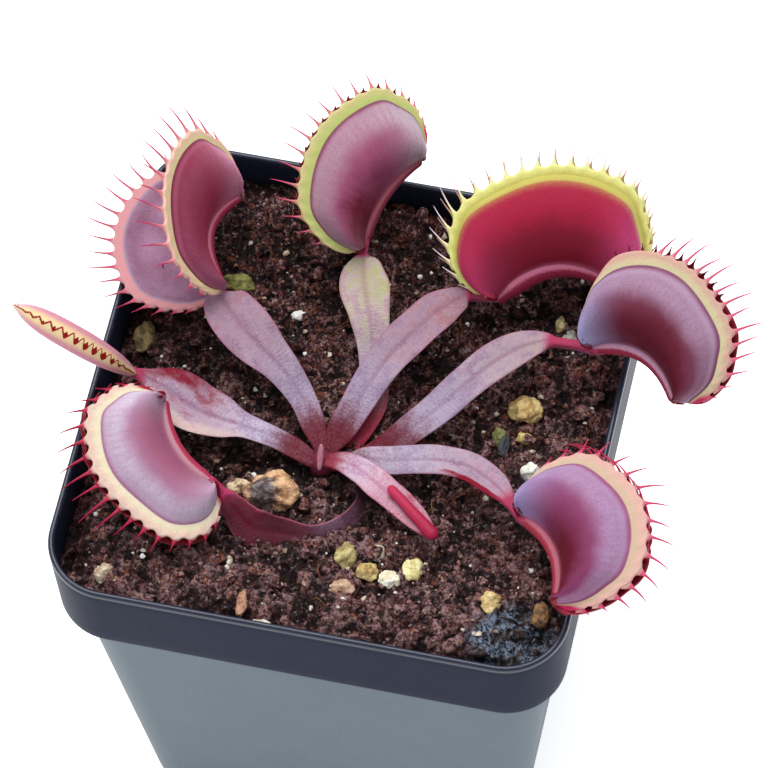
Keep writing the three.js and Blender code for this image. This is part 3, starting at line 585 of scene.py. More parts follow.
class Paint:
    """The nodes of one material. Colours are given as hex codes, properties or Values."""

    def __init__(self, name):
        self.material = bpy.data.materials.new(name)
        self.material.use_nodes = True
        self.tree = self.material.node_tree
        self.tree.nodes.clear()
        self.place = self.node("ShaderNodeTexCoord", output="Object")

    def node(self, kind, settings=None, sockets=None, output=0):
        """Adds a node, sets it, feeds its sockets with values or links and returns one output."""
        node = self.tree.nodes.new(kind)
        for key, value in (settings or {}).items():
            if key == "stops":
                ramp = node.color_ramp
                while len(ramp.elements) < len(value):
                    ramp.elements.new(0.5)
                for element, (position, shade) in zip(ramp.elements, value):
                    element.position, element.color = position, (*linear(shade), 1)
            else:
                setattr(node, key, value)
        for key, value in (sockets or {}).items():
            socket = node.inputs[key]
            if isinstance(value, Value):
                self.tree.links.new(socket, value.socket)
            elif socket.type == "RGBA":
                socket.default_value = (*(linear(value) if isinstance(value, str) else value), 1)
            else:
                socket.default_value = value
        return Value(self, node.outputs[output])

    def blend(self, share, first, second):
        """The first colour where the share is 0 or less and the second where it is 1 or more."""
        sockets = {MIX_FACTOR: share, MIX_FIRST: first, MIX_SECOND: second}
        return self.node("ShaderNodeMix", {"data_type": "RGBA"}, sockets, MIX_RESULT)

    def layers(self, ground, *coats):
        """A ground colour under coats: each has the share of the surface that it hides and its colour."""
        for share, shade in coats:
            ground = self.blend(share, ground, shade)
        return ground

    def ramp(self, share, *stops):
        """The colour that stops of a place and a colour each give for a share."""
        return self.node("ShaderNodeValToRGB", {"stops": stops}, {0: share})

    def parts(self, vector):
        """The three numbers of a vector."""
        split = self.node("ShaderNodeSeparateXYZ", {}, {0: vector}).socket.node
        return [Value(self, output) for output in split.outputs]

    def coordinates(self, name):
        """The three numbers of a surface coordinate that the mesh carries."""
        return self.parts(self.node("ShaderNodeAttribute", {"attribute_name": name}, output="Vector"))

    def join(self, x, y, z):
        """A vector of three numbers."""
        return self.node("ShaderNodeCombineXYZ", {}, {0: x, 1: y, 2: z})

    def away(self, x, y):
        """Square of the level distance from a place, all in millimetres."""
        dx, dy = (part * 1000 - at for part, at in zip(self.parts(self.place), (x, y)))
        return dx * dx + dy * dy

    def cloud(self, size, detail=3, rough=0.55, vector=None):
        """Noise with features of the given size in millimetres."""
        scale = 1000 / size if vector is None else 1 / size
        sockets = {"Vector": vector or self.place, "Scale": scale, "Detail": detail, "Roughness": rough}
        return self.node("ShaderNodeTexNoise", {}, sockets, "Fac")

    def grit(self, size, output="Distance"):
        """Cells of the given size in millimetres: the distance from their middles or their own colours."""
        return self.node("ShaderNodeTexVoronoi", {}, {"Vector": self.place, "Scale": 1000 / size}, output)

    def finish(self, base, roughness, height=None, strength=0.3, depth=0.2, **steady):
        """Closes the material with one shader. The depth of the relief is in millimetres."""
        sockets = {"Base Color": base, "Roughness": roughness, **steady}
        if height is not None:
            relief = {"Height": height, "Strength": strength, "Distance": depth * MM}
            sockets["Normal"] = self.node("ShaderNodeBump", {}, relief)
        shader = self.node("ShaderNodeBsdfPrincipled", {}, sockets)
        output = self.tree.nodes.new("ShaderNodeOutputMaterial")
        self.tree.links.new(output.inputs["Surface"], shader.socket)
        return self.material


def tissue(weight):
    """Steady shader values of soft plant tissue."""
    return {
        "Subsurface Weight": weight, "Subsurface Radius": (1.0, 0.35, 0.25), "Subsurface Scale": 0.8 * MM,
        "Specular IOR Level": 0.1,
    }


def blade_material(name, look, leaf):
    """Waxy blade: crimson base, lilac bloom in fine grains, a tinted tip, pink margins and a red neck."""
    paint = Paint(name)
    across, along, width = paint.coordinates("form")
    reach, run, upper = paint.coordinates("part")
    lilac, mauve, margin, base, neck = (
        look.get(key, getattr(leaf, f"{key}_colour")) for key in ("lilac", "mauve", "margin", "base", "neck")
    )

    skin = paint.join(reach * 1.6, run, upper)
    grains = paint.cloud(0.42, 3, 0.65, skin)
    fine = grains.step(0.3, 0.7)
    patches = paint.cloud(3.4, 3, 0.6, skin)
    sway = patches - 0.5
    wrinkles = paint.cloud(0.9, 3, 0.6, paint.join(reach * 0.8, run * 2.6, upper))
    red_side = across * look.get("flush", 0) + sway
    rolled_side = across * look.get("fold", 0) + sway * 0.3

    bloom = (fine * 0.45 + 0.18 + patches.step(0.34, 0.6) * 0.45 + (wrinkles - 0.5) * 0.6) * look["bloom"]
    tipped = (along + patches * 0.3).step(0.5, 0.85) * (patches + fine * 0.25).step(0.5, 0.75) * width.step(2.6, 5.0)
    channel = abs(across).step(0.22, 0) * (0.25 + 0.5 * patches)
    rim = (abs(across) + grains * 0.12).step(0.93, 1.04)
    flushed = red_side.step(0.15, 0.7) * (along + sway * 0.4).bump(0.72, 0.26)
    faded = red_side.step(-0.45, -0.85) * along.bump(0.58, 0.3)
    rolled = rolled_side.step(0.6, 0.72) * (along + sway * 0.2).bump(0.73, 0.32).step(0, 0.3)
    cool = (along + patches * 0.15).bump(0.4, 0.16) * (0.3 + fine * 0.2) * look["bloom"]
    rooted = (along + look.get("short", 0) + patches * 0.1 + (fine - 0.5) * 0.03).step(0.37, 0.22)
    necked = width.step(4.6, 2.2) * along.step(0.5, 0.6)
    shade = paint.layers(
        mauve,
        (bloom, lilac),
        (tipped * 0.75, look["tip"]),
        (channel, mauve),
        (rim * 0.6, margin),
        (flushed, "801c30"),
        (faded * 0.8, "d8bcb4"),
        (rolled, "84142a"),
        (cool, "a49cbc"),
        (rooted * (0.84 + 0.16 * fine), base),
        (necked, neck),
        (upper.step(0, -0.6) * 0.6, mauve),
    )
    rough = 0.46 + 0.16 * fine - 0.12 * necked
    return paint.finish(shade, rough, grains * 0.8 + wrinkles * 2.2, strength=0.8, depth=0.16, **tissue(0.12))


def trap_material(name, look):
    """Lobes: a waxy pillow, a crease, a pale flange, coloured teeth and the midrib between them."""
    paint = Paint(name)
    run, rise, layer = paint.coordinates("form")
    tooth, side, _spare = paint.coordinates("part")

    grains = paint.cloud(0.3, 2, 0.6)
    fine = grains.step(0.3, 0.7)
    patches = paint.cloud(4.0, 2, 0.5)
    sway = patches - 0.5
    streaks = paint.cloud(1, 2, 0.5, paint.join(run * 75, rise * 2.2, side)).step(0.3, 0.7)
    veins = (streaks - 0.5) * look["streaks"]
    off_middle = abs(run - 0.5)
    outer = (layer.step(0.35, 0.65) + off_middle.step(0.44, 0.46)).clip()
    off_midrib = rise.step(-0.02, 0.12)

    heart_run, heart_rise, heart_reach = look["heart"]
    heart = (run + sway * 0.2).bump(heart_run, heart_reach) * (rise + sway * 0.3).bump(heart_rise, 0.56)
    at_root, at_tip, on_ridge = look["blooms"]
    # Blooms at the root, tip and ridge: partly the wax's own paleness and partly painted light; the bluish root colours
    # of two traps are a painted reflection of the sky.
    root_bloom_and_reflection = run.step(0.42, 0.1) * at_root * off_midrib * (0.82 + 0.18 * fine)
    bloom = run.step(0.58, 0.86) * at_tip + (rise + sway * 0.15).bump(look["ridge"], 0.3) * on_ridge
    pillow = paint.layers(
        look["middle"],
        (heart * 1.5 + veins * 0.6, look["dark"]),
        (root_bloom_and_reflection, look.get("root_bloom_and_reflection", look["bloom"])),
        (bloom * off_midrib * (0.74 + 0.26 * fine + veins), look["bloom"]),
        ((0.6 - fine) * 0.15, look["dark"]),
        (paint.grit(0.5).step(0.2, 0.1) * look["specks"], look["edge"]),
    )
    soft = look.get("soft")
    if not soft:
        soft = (1.0, 1.1)
        # Painted highlight: the slope just under the crease painted in the bloom's pale colour, as if lit from above.
        shoulder = rise.bump(0.93, 0.07) * look["shoulder"]
        crease = (rise + sway * 0.03).bump(1.0, 0.05) * 0.85
        pillow = paint.layers(pillow, (shoulder, look["bloom"]), (crease, look["crease"]))

    flange = paint.layers(
        look["flange"],
        ((rise + (fine - 0.5) * 0.2 + sway * 0.3).step(1.25, 1.95), look["edge"]),
        ((fine - 0.4) * 0.16, look["crease"]),
        ((off_middle + sway * 0.12).step(0.38, 0.48), look["tooth_root"]),
        (run.step(0.87, 0.9) * rise.step(1.2, 1.6), look["tooth_tip"]),
    )
    outside = paint.blend((rise + (fine - 0.5) * (soft[1] - soft[0]) * 0.12).step(*soft), pillow, flange)
    inner_flange = paint.blend((fine - 0.3) * 0.4, look["inner_flange"], look["inner_bloom"])
    inside = paint.layers(
        look["inner"],
        ((patches + fine * 0.25).step(0.1, 1.15), look["inner_bloom"]),
        (rise.bump(1.03, 0.05), look.get("inner_crease", look["inner_bloom"])),
        (rise.step(1.02, 1.12), inner_flange),
    )
    shade = paint.blend(outer, inside, outside)

    to_tip = tooth.step(0.05, 0.75)
    near_tooth = paint.blend(to_tip, look["tooth_root"], look["tooth_tip"])
    far_tooth = paint.blend(to_tip, look["far_root"], look["far_tip"])
    teeth = paint.layers(
        near_tooth, (side.step(-0.2, 0.2), far_tooth), ((0.5 - layer) * look["shadow"], look["gap"])
    )
    shade = paint.blend(tooth.step(0.0, 0.14), shade, teeth)

    if "seam" in look:  # a zigzag line across the meeting margins, with diamond gaps where it is widest
        wide = run.step(0.9, 0.3) * run.step(0.1, 0.3)
        zigzag = paint.node("ShaderNodeMath", {"operation": "PINGPONG"}, {0: run * (2 * look["seam"]), 1: 1.0}) - 0.5
        across = (2 - rise) * side
        line = abs(across - zigzag * (wide * 0.27 + 0.03)).step(0.05, 0.015) * run.step(0.985, 0.95) * rise.step(1, 1.4)
        hole = ((0.5 - zigzag) * 1.7 + abs(across - 0.03) * 8 - wide * 1.15).step(0.06, -0.06)
        shade = paint.layers(shade, (line * outer, look["gap"]), (hole * outer, look["gap"]))

    cord = paint.blend((rise + fine * 0.06).step(-0.5, -0.68), look["band"], look["keel"])
    by_cord = rise.bump(0.0, 0.1) * rise.step(-0.05, 0.02) * outer
    hem = off_middle.step(look["hem"], look["hem"] + 0.014) * rise.step(1.0, 0.5) * rise.step(-0.04, 0.0)
    shade = paint.layers(
        shade, (rise.step(-0.02, -0.06), cord), (by_cord * 0.85, look["band"]), (hem, look["keel"])
    )
    height = grains + 0.5 * paint.cloud(0.2, 2, 0.6) + streaks * look["streaks"]
    rough = 0.4 + 0.16 * fine - 0.08 * tooth.step(0.0, 0.3)
    return paint.finish(shade, rough, height, strength=0.6, depth=0.12, **tissue(0.2))


def pod_material(name, dark, bright, pale):
    """Glossy young tissue, with a painted highlight in pale grainy specks along its crest."""
    paint = Paint(name)
    across, along, _spare = paint.coordinates("form")
    grains = paint.cloud(0.3, 3, 0.7)
    # Painted highlight: pale grainy specks along one side of the pod.
    crest = (grains * 1.6 - 0.35).clip() * across.step(0.2, 0.8)
    shade = paint.layers(dark, (grains * 0.5 + along * 0.5, bright), (crest, pale))
    return paint.finish(shade, 0.3 + 0.1 * grains, grains, strength=0.25, depth=0.06, **tissue(0.15))


def plastic_material(name, pot):
    """Satin moulded plastic: fine speckle on the body, smoother on the band, faint scuffs and dust, and a body colour
    painted paler as a reflection of the white floor.
    """
    paint = Paint(name)
    _x, _y, z = paint.parts(paint.place)
    speckle, mottle, scuffs = paint.cloud(0.5, 3, 0.7), paint.cloud(9, 3, 0.5), paint.cloud(2.2, 6, 0.8)
    band_foot = pot.height - pot.band_height
    on_band = z.step(band_foot - 0.4 * MM, band_foot + 0.2 * MM)
    on_lip = z.step(pot.height - 1.4 * MM, pot.height - 0.8 * MM)
    pale = (speckle.step(0.5, 0.78) * 0.16 + mottle * 0.10) * (1 - 0.75 * on_band)
    # The body colour is painted paler as a reflection of the white floor.
    shade = paint.layers(
        pot.body_colour_and_reflection,
        (on_band, pot.band_colour),
        (pale, "a8b0b8"),
        (scuffs.step(0.66, 0.8) * 0.12, "b8bcc0"),
    )
    glossy = {"Specular IOR Level": 0.02, "Coat Weight": on_lip * 0.8, "Coat Roughness": 0.2}
    height = speckle * (1 - 0.8 * on_band) + 0.15 * scuffs
    rough = 0.3 + 0.1 * speckle + 0.08 * mottle
    return paint.finish(shade, rough, height, strength=0.35, depth=0.12, **glossy)


def peat_material(name, soil):
    """Moist peat in small bits, each with its own tone: rust, dust, near black painted shade in the hollows, a glossy
    coat on wet spots and painted bluish glints on the soaked patch.
    """
    paint = Paint(name)
    _lump, own, lift = paint.coordinates("form")
    x, y, _z = paint.parts(paint.place)
    broad, middle, small = paint.cloud(9.0, 3, 0.6), paint.cloud(0.9, 4, 0.7), paint.cloud(0.25, 3, 0.7)
    chips = paint.parts(paint.grit(0.42, "Color"))
    flakes = paint.parts(paint.grit(0.85, "Color"))
    tone = chips[0] * 0.34 + flakes[0] * 0.22 + middle * 0.42 + small * 0.42 + (own - 0.5) * 0.12 + x * 0.7 - y * 1.9
    rusty = flakes[1].step(0.74, 0.84) * (small + chips[1] * 0.3).step(0.45, 0.75)
    soaked = (paint.away(*SOAKED_SPOT) + (middle - 0.5) * 60).step(90, 30)
    # Painted highlights: bluish white glints on the soaked patch, standing for the sky mirrored in the wet peat.
    painted_glints = paint.cloud(2.4, 2, 0.5).step(0.44, 0.56) * (small + chips[0] * 0.5).step(0.55, 0.95)
    shade = paint.layers(
        soil.dark_and_shade_colour,
        (tone.step(0.42, 0.86), soil.peat_colour),
        (rusty * 0.85, soil.rust_colour),
        ((tone + broad * 0.2).step(0.78, 1.05) * 0.8, soil.grey_colour),
        (chips[1].step(0.9, 0.95) * lift.step(0.5, 0.62) * 0.6, "c0a890"),
        # Painted shade: where the clods are low, in the hollows and on the skirt down the wall, the peat goes near
        # black.
        ((lift + (small - 0.5) * 0.4).step(0.58, 0.3) * 0.92, soil.dark_and_shade_colour),
        (soaked * 0.85, "0c0f15"),
        (soaked * painted_glints * 0.9, "8c9cb4"),
    )
    wet = (chips[2].step(0.62, 0.7) * small.step(0.42, 0.6) + soaked * 0.3).clip()
    shine = {"Specular IOR Level": 0.16, "Coat Weight": wet * 0.8, "Coat Roughness": 0.22}
    height = small + middle + chips[0] * 0.5
    return paint.finish(shade, 0.72 - 0.42 * wet, height, strength=1.0, depth=0.45, **shine)


def fibre_material(name):
    """Dry fibres from rusty brown to straw."""
    paint = Paint(name)
    own, _along, _spare = paint.coordinates("form")
    share = own * 0.9 + paint.cloud(1.2) * 0.15
    shade = paint.ramp(share, (0.0, "3a1c14"), (0.5, "6c3420"), (0.85, "94603c"), (1.0, "b89468"))
    return paint.finish(shade, 0.7 + 0.15 * paint.cloud(0.4), paint.cloud(0.2), depth=0.05)


def stone_material(name, light, dark, shadow_spot=None):
    """Weathered grit: two tones with dark pits and stains, and a painted shadow where one is given."""
    paint = Paint(name)
    patches, stain, pits = paint.cloud(1.5, 5, 0.7), paint.cloud(3.2, 4, 0.7), paint.grit(0.5)
    shade = paint.layers(
        dark,
        (patches.step(0.38, 0.62), light),
        (stain.step(0.54, 0.7) * 0.55, "5c3c28"),
        (pits.step(0.2, 0.05) * 0.35, "3a2a20"),
    )
    if shadow_spot:
        x, y, radius = shadow_spot
        # Painted shadow: a mottled bluish grey patch painted on the stone where a shadow lies.
        painted_shadow = (paint.away(x, y) * (1 / radius**2) + (patches - 0.5) * 3.2).step(1.6, 0.3)
        shadow_tone = paint.blend(patches.step(0.4, 0.6), "2c2c34", "747480")
        shade = paint.blend(painted_shadow * 0.88, shade, shadow_tone)
    return paint.finish(shade, 0.66 + 0.2 * patches, patches + 0.5 * pits, strength=0.8, depth=0.3)


def grain_material(name):
    """Small grains of sand, perlite and pumice, each with its own tone."""
    paint = Paint(name)
    own, _b, _c = paint.coordinates("form")
    tone = paint.ramp(own, (0.0, "80685c"), (0.25, "b0947c"), (0.5, "ccbca8"), (0.72, "e4dccc"), (1.0, "f0f2ee"))
    shade = paint.blend(paint.cloud(0.6, 4).step(0.5, 0.75) * 0.5, tone, "7c6450")
    return paint.finish(shade, 0.45 + 0.3 * paint.cloud(0.4), paint.cloud(0.3, 4), strength=0.6, depth=0.1)


def scrap_material(name):
    """Dry brown leaf."""
    paint = Paint(name)
    veins = paint.cloud(0.9, 4)
    shade = paint.blend(veins.step(0.35, 0.65), "2c130c", "7a3a24")
    return paint.finish(shade, 0.6 + 0.2 * veins, veins, strength=0.5, depth=0.1)


# Pot

CORNER_STEPS = 14
DRAIN_PLACE, DRAIN_RADIUS = 19, 4


def square_ring(width, radius, z):
    """A square with round corners at one height."""
    ring = []
    reach = width / 2 - radius
    for corner, (sx, sy) in enumerate(((1, 1), (-1, 1), (-1, -1), (1, -1))):
        for k in range(CORNER_STEPS + 1):
            angle = math.radians(corner * 90 + 90 * k / CORNER_STEPS)
            ring.append((sx * reach + radius * math.cos(angle), sy * reach + radius * math.sin(angle), z))
    return np.array(ring)


def pot_rings(pot):
    """Rings up the outside, over the lip and down the inside: width, corner radius and height."""
    wide, high, corner = pot.rim_width / MM, pot.height / MM, pot.rim_radius / MM
    band, foot, body, wall = (v / MM for v in (pot.band_height, pot.foot_width, pot.body_width, pot.wall))
    low = high - band
    rows = [(foot - 1.2, 6.4, 0.0), (foot - 0.4, 6.8, 0.15), (foot, 7.0, 0.6)]
    for share in (k / 15 for k in range(1, 15)):
        rows.append((foot + (body - foot) * share, 7 + 1.5 * share, 0.6 + (low - 0.6) * share))
    rows += [(body, 8.5, low - 0.1), (body + 0.2, 8.6, low - 0.02)]
    rows += [(wide - 1.7, corner - 0.9, low + 0.02), (wide - 1.25, corner - 0.65, low + 0.25)]
    rows += [(wide - 1.1, corner - 0.55, low + 0.7)]
    for k in range(1, 8):
        left = 1 - k / 7
        rows.append((wide - 1.1 * left, corner - 0.5 * left, low + 0.7 + (band - 1.3) * k / 7))
    lip = wall / 2
    for angle in (math.pi * k / 8 for k in range(1, 9)):
        inset = lip * (1 - math.cos(angle))
        rows.append((wide - 2 * inset, corner - inset, high - lip + lip * math.sin(angle)))
    inside = wide - 2 * wall
    rows += [(inside - 0.15 * k, corner - wall - 0.05 * k, high - lip - 2.2 * k) for k in range(1, 7)]
    rows += [(body - 2 * wall + 1, 8.2, low + 1.0), (body - 2 * wall, 7.6, low - 0.5)]
    rows += [(foot - 2 * wall, 6.0, 2.4), (foot - 2 * wall - 1.4, 5.4, 1.6)]
    return [square_ring(*row) for row in rows]


def drill(piece, places, radius):
    """Cuts upright round holes through the piece's floor."""
    circle = [(radius * math.cos(a), radius * math.sin(a)) for a in round_angles(32)]
    for x, y in places:
        hole = Shape()
        hole.loft([[(x + u, y + v, z) for u, v in circle] for z in (-2, 4)])
        tool = hole.solid("drill")
        cut = piece.modifiers.new("hole", "BOOLEAN")
        cut.operation, cut.solver, cut.object = "DIFFERENCE", "EXACT", tool
        graph = bpy.context.evaluated_depsgraph_get()
        done = bpy.data.meshes.new_from_object(piece.evaluated_get(graph))
        piece.modifiers.clear()
        piece.data = done
        bpy.data.objects.remove(tool)


# Leaves

BLADE_ROWS, BLADE_COLUMNS = 118, 40
NECK_WIDTH = 1.8  # where a blade is this narrow, it is neck
FULLNESS = 0.62  # below 1, a blade stays wide for longer on its way to the neck
FROM_CROWN = 0.25  # how far from the crown's middle to its first key a stalk starts
START_DEPTH = 1.4
INTO_MIDRIB = 0.09


def stalk_keys(name):
    """The keys of a stalk, led down into the crown and on into the midrib of its trap."""
    keys = [np.array(key, float) for key in STALKS[name]]
    start = keys[0].copy()
    start[:2] = np.array(CROWN[:2]) + (keys[0][:2] - CROWN[:2]) * FROM_CROWN
    start[2] -= START_DEPTH
    keys.insert(0, start)
    if name in TRAPS:
        matrix = trap_matrix(TRAPS[name])
        spots = midrib_points(TRAPS[name], np.array([0.0, INTO_MIDRIB]))
        root, inside = (matrix[:3, :3] @ spot + matrix[:3, 3] for spot in spots)
        keys[-1][:3] = root
        keys.append(np.array([*inside, 1.6, 0]))
    return np.array(keys)


@functools.cache
def stalk_lines():
    """Points and widths along every stalk."""
    return np.stack([smooth_curve(stalk_keys(name), np.linspace(0, 1, 40)) for name in STALKS])


def blade_shape(keys, seed):
    """A blade lofted along its centre line: a shallow channel, thin waved margins and a round neck."""
    t = np.linspace(0, 1, BLADE_ROWS)
    centre = smooth_curve(keys[:, :3], t)
    width, bank = smooth_curve(keys[:, 3:], t).T
    bank = np.radians(bank)[:, None]
    widest = np.argmax(width)
    spare = width[widest] - NECK_WIDTH
    fuller = NECK_WIDTH + spare * np.clip((width - NECK_WIDTH) / spare, 0, 1) ** FULLNESS
    width = np.where((np.arange(BLADE_ROWS) > widest) & (width > NECK_WIDTH), fuller, width)
    along = unit(smooth_curve(keys[:, :3], t + 0.01) - smooth_curve(keys[:, :3], t - 0.01))
    side = unit(np.cross((0, 0, 1), along))
    across = side * np.cos(bank) + np.cross(along, side) * np.sin(bank)
    normal = np.cross(along, across)
    run = length_along(centre)[:, None]

    angles = round_angles(BLADE_COLUMNS)
    u, top = np.cos(angles), np.sin(angles)
    w, t = width[:, None], t[:, None]
    wave = 0.35 * np.sin(17 * t + u) * smooth_step((w - 3) / 4)
    frill = 0.22 * np.sin(t * 41 + seed) * smooth_step((w - 3.5) / 4) * np.abs(u) ** 5 * np.sign(u)
    lift = u**2 * (0.09 * w + wave) + frill
    flat = 0.34 * (1 - u**2) + 0.2 * np.sqrt(np.maximum(0, 1 - u**8))
    round_ = w / 2 * 0.92 * np.sqrt(np.maximum(0, 1 - u**2))
    neck = 1 - smooth_step((w - 1.7) / 2.6)
    half = flat * (1 - neck) + np.minimum(round_, 1.1) * neck
    groove = -0.16 * np.exp(-((u / 0.16) ** 2)) * smooth_step((w - 3) / 3) * (top > 0)
    offset = lift + half * np.sign(top) * (np.abs(top) > 1e-9) + groove
    rings = centre[:, None] + across[:, None] * (u * w / 2)[..., None] + normal[:, None] * offset[..., None]

    shape = Shape()
    shape.loft(rings, triples(u, t, w), triples(u * w / 2, run, top))
    half = 0.3 + 0.42 * smooth_step((t - 0.25) / 0.5)
    keel = tube(centre - normal * (half * 0.55 + 0.25), across, normal, half, half, angles[::4])
    shape.loft(keel, triples(0.3, t, 2.2), triples(1, run, -1))
    return shape


# Traps

# Half thickness of a trap that is nearly closed, from its midrib up to the crease, as shares of its height.
PILLOW = [0, 0.02, 0.11, 0.19, 0.24, 0.272, 0.288, 0.288, 0.276, 0.253, 0.214, 0.16, 0.1, 0.05]
FOLD_HALF = 0.5
LOBE_GAP = 0.15
MARGIN_STEPS = 601
LOBE_ROWS = 151
TOOTH_SUNK = 0.75
TOOTH_SEED = 400
# The closed slender trap: where it is widest, its reach from there to its root and to its tip, and how blunt they are.
BUD_WIDEST = 0.485
BUD_REACH = (0.565, 0.532)
BUD_BLUNT = (1.9, 3.4)
# Trigger hairs on each lobe of an open trap, as shares along and up it.
HAIRS = ((0.4, 0.5), (0.52, 0.34), (0.62, 0.52))
HAIR_RADIUS = 0.13


def outline_points(trap):
    """The margin of a lobe in its own plane, from the root round to the far end of the midrib."""
    c, h = trap["chord"], trap["height"]
    if "seam" in trap:
        rows = [
            (-0.07, 0.06), (-0.02, 0.22), (0.07, 0.45), (0.17, 0.68), (0.3, 0.86), (0.42, 0.96), (0.55, 1),
            (0.7, 0.98), (0.84, 0.9), (0.95, 0.75), (1.03, 0.52), (1.04, 0.25), (1.02, 0),
        ]
        return np.array([(c * x, 0, h * z) for x, z in rows])
    near, far = trap["over_near"], trap["over_far"]
    rows = [
        (-0.03 * c, 0.03), (-0.62 * near, 0.07), (-0.97 * near, 0.27), (-0.98 * near, 0.5),
        (-0.62 * near, 0.75), (0.14 * c, 0.93), (0.5 * c, 1), (0.86 * c, 0.94),
        (c + 0.6 * far, 0.77), (c + 0.9 * far, 0.57), (c + far, 0.36), (c + 0.68 * far, 0.11), (1.02 * c, 0),
    ]
    return np.array([(x + trap["skew"] * share, 0, share * h) for x, share in rows])


def midrib_points(trap, g):
    """Points of the bowed midrib at shares of the way along it."""
    return triples(trap["chord"] * g, 0, trap["sag"] * 4 * g * (1 - g))


def margin_run(trap):
    """Shares of the margin's parameter and of its length that belong together."""
    s = np.linspace(0, 1, MARGIN_STEPS)
    run = length_along(smooth_curve(outline_points(trap), s))
    return s, run / run[-1]


def tooth_places(trap, side):
    """Where the teeth of one lobe stand, as shares of the margin's length, and how far apart."""
    count, first, last = trap["near" if side < 0 else "far"][:3]
    step = (last - first) / count
    return first + step * (np.arange(count) + (0.25 if side < 0 else 0.75)), step


def hinge_share(s):
    """Where on the midrib the lobe's part at s hangs."""
    return smooth_step((s - 0.08) / 0.84)


def crease_share(trap, s, flange):
    """Where the pillow ends on the way from midrib to margin."""
    reach = np.linalg.norm(smooth_curve(outline_points(trap), s) - midrib_points(trap, hinge_share(s)), axis=-1)
    first, last = trap["flanged"]
    wide = flange * trap["width"] * smooth_step((s - first) / trap["fade"]) * smooth_step((last - s) / 0.09)
    return 1 - np.clip(wide / np.maximum(reach, 0.1), 0.04, 0.72)


def tooth_wave(trap, s, side):
    """The margin's scallops, 1 at each tooth and -1 between two, and the share of them at each place."""
    places, step = tooth_places(trap, side)
    run = np.interp(s, *margin_run(trap))
    toothed = smooth_step((run - places[0] + step) / step) * smooth_step((places[-1] + step - run) / step)
    return np.cos(2 * math.pi * (run - places[0]) / step) * toothed, toothed


def pillow_half(trap, s, v, rise, wall):
    """Half thickness of a toothed trap, from the fold at the midrib over the pillow to the margin."""
    ends = np.sqrt(np.clip(1 - np.abs(2 * s - 1) ** np.where(s < 0.5, *trap["blunt"]), 0, 1))
    thick = 0.05 - 0.012 * np.clip(rise - 1, 0, 1)
    thick = np.where(rise < 1, smooth_curve(PILLOW, np.clip(rise, 0, 1)), thick)
    if "soft" in trap:
        thick = np.maximum(0.29 * np.sin(math.pi * np.clip(rise / 1.3, 0, 1)) ** 0.7, 0.04)
    fold = FOLD_HALF + (LOBE_GAP + wall - FOLD_HALF) * np.minimum(1, v / 0.12)
    return fold + thick * trap["height"] * trap["fat"] * ends


def bud_half(trap, along, rise):
    """Half thickness of the closed slender trap: a long bud, round in section, whose margins meet."""
    near_root = along < BUD_WIDEST
    taper = np.abs(along - BUD_WIDEST) / np.where(near_root, *BUD_REACH)
    taper = np.clip(1 - taper ** np.where(near_root, *BUD_BLUNT), 0, 1) ** 0.6
    section = np.sin(math.pi * (0.06 + 0.94 * np.clip(rise / 2, 0, 1))) ** 0.6
    return 0.02 + trap["height"] * trap["fat"] * taper * section


def lobe_points(trap, s, rise, side, settings):
    """Points of a lobe's outer face. Rise is 0 at the midrib, 1 at the crease and 2 at the margin."""
    hinge = midrib_points(trap, hinge_share(s))
    crease = crease_share(trap, s, settings.flange / MM)
    v = np.where(rise < 1, rise * crease, crease + (rise - 1) * (1 - crease))
    reach = smooth_curve(outline_points(trap), s) - hinge
    if side > 0:
        reach = reach * trap["far_reach"]
    if "seam" in trap:
        reach = reach * v[..., None]
        lateral = bud_half(trap, (hinge + reach)[..., 0] / trap["chord"], rise)
    else:
        wave, toothed = tooth_wave(trap, s, side)
        flank = np.clip(rise - 1, 0, 1)
        far = np.maximum(np.linalg.norm(reach, axis=-1), 1)
        reach = reach * (v - 0.28 * (1 - wave) * toothed * trap["broad"] * flank**2 / far)[..., None]
        lateral = pillow_half(trap, s, v, rise, settings.wall / MM) - 0.10 * wave * flank
    angle = math.radians(trap["open"])
    lateral = lateral + reach[..., 2] * math.sin(angle)
    return triples(hinge[..., 0] + reach[..., 0], side * lateral, hinge[..., 2] + reach[..., 2] * math.cos(angle))


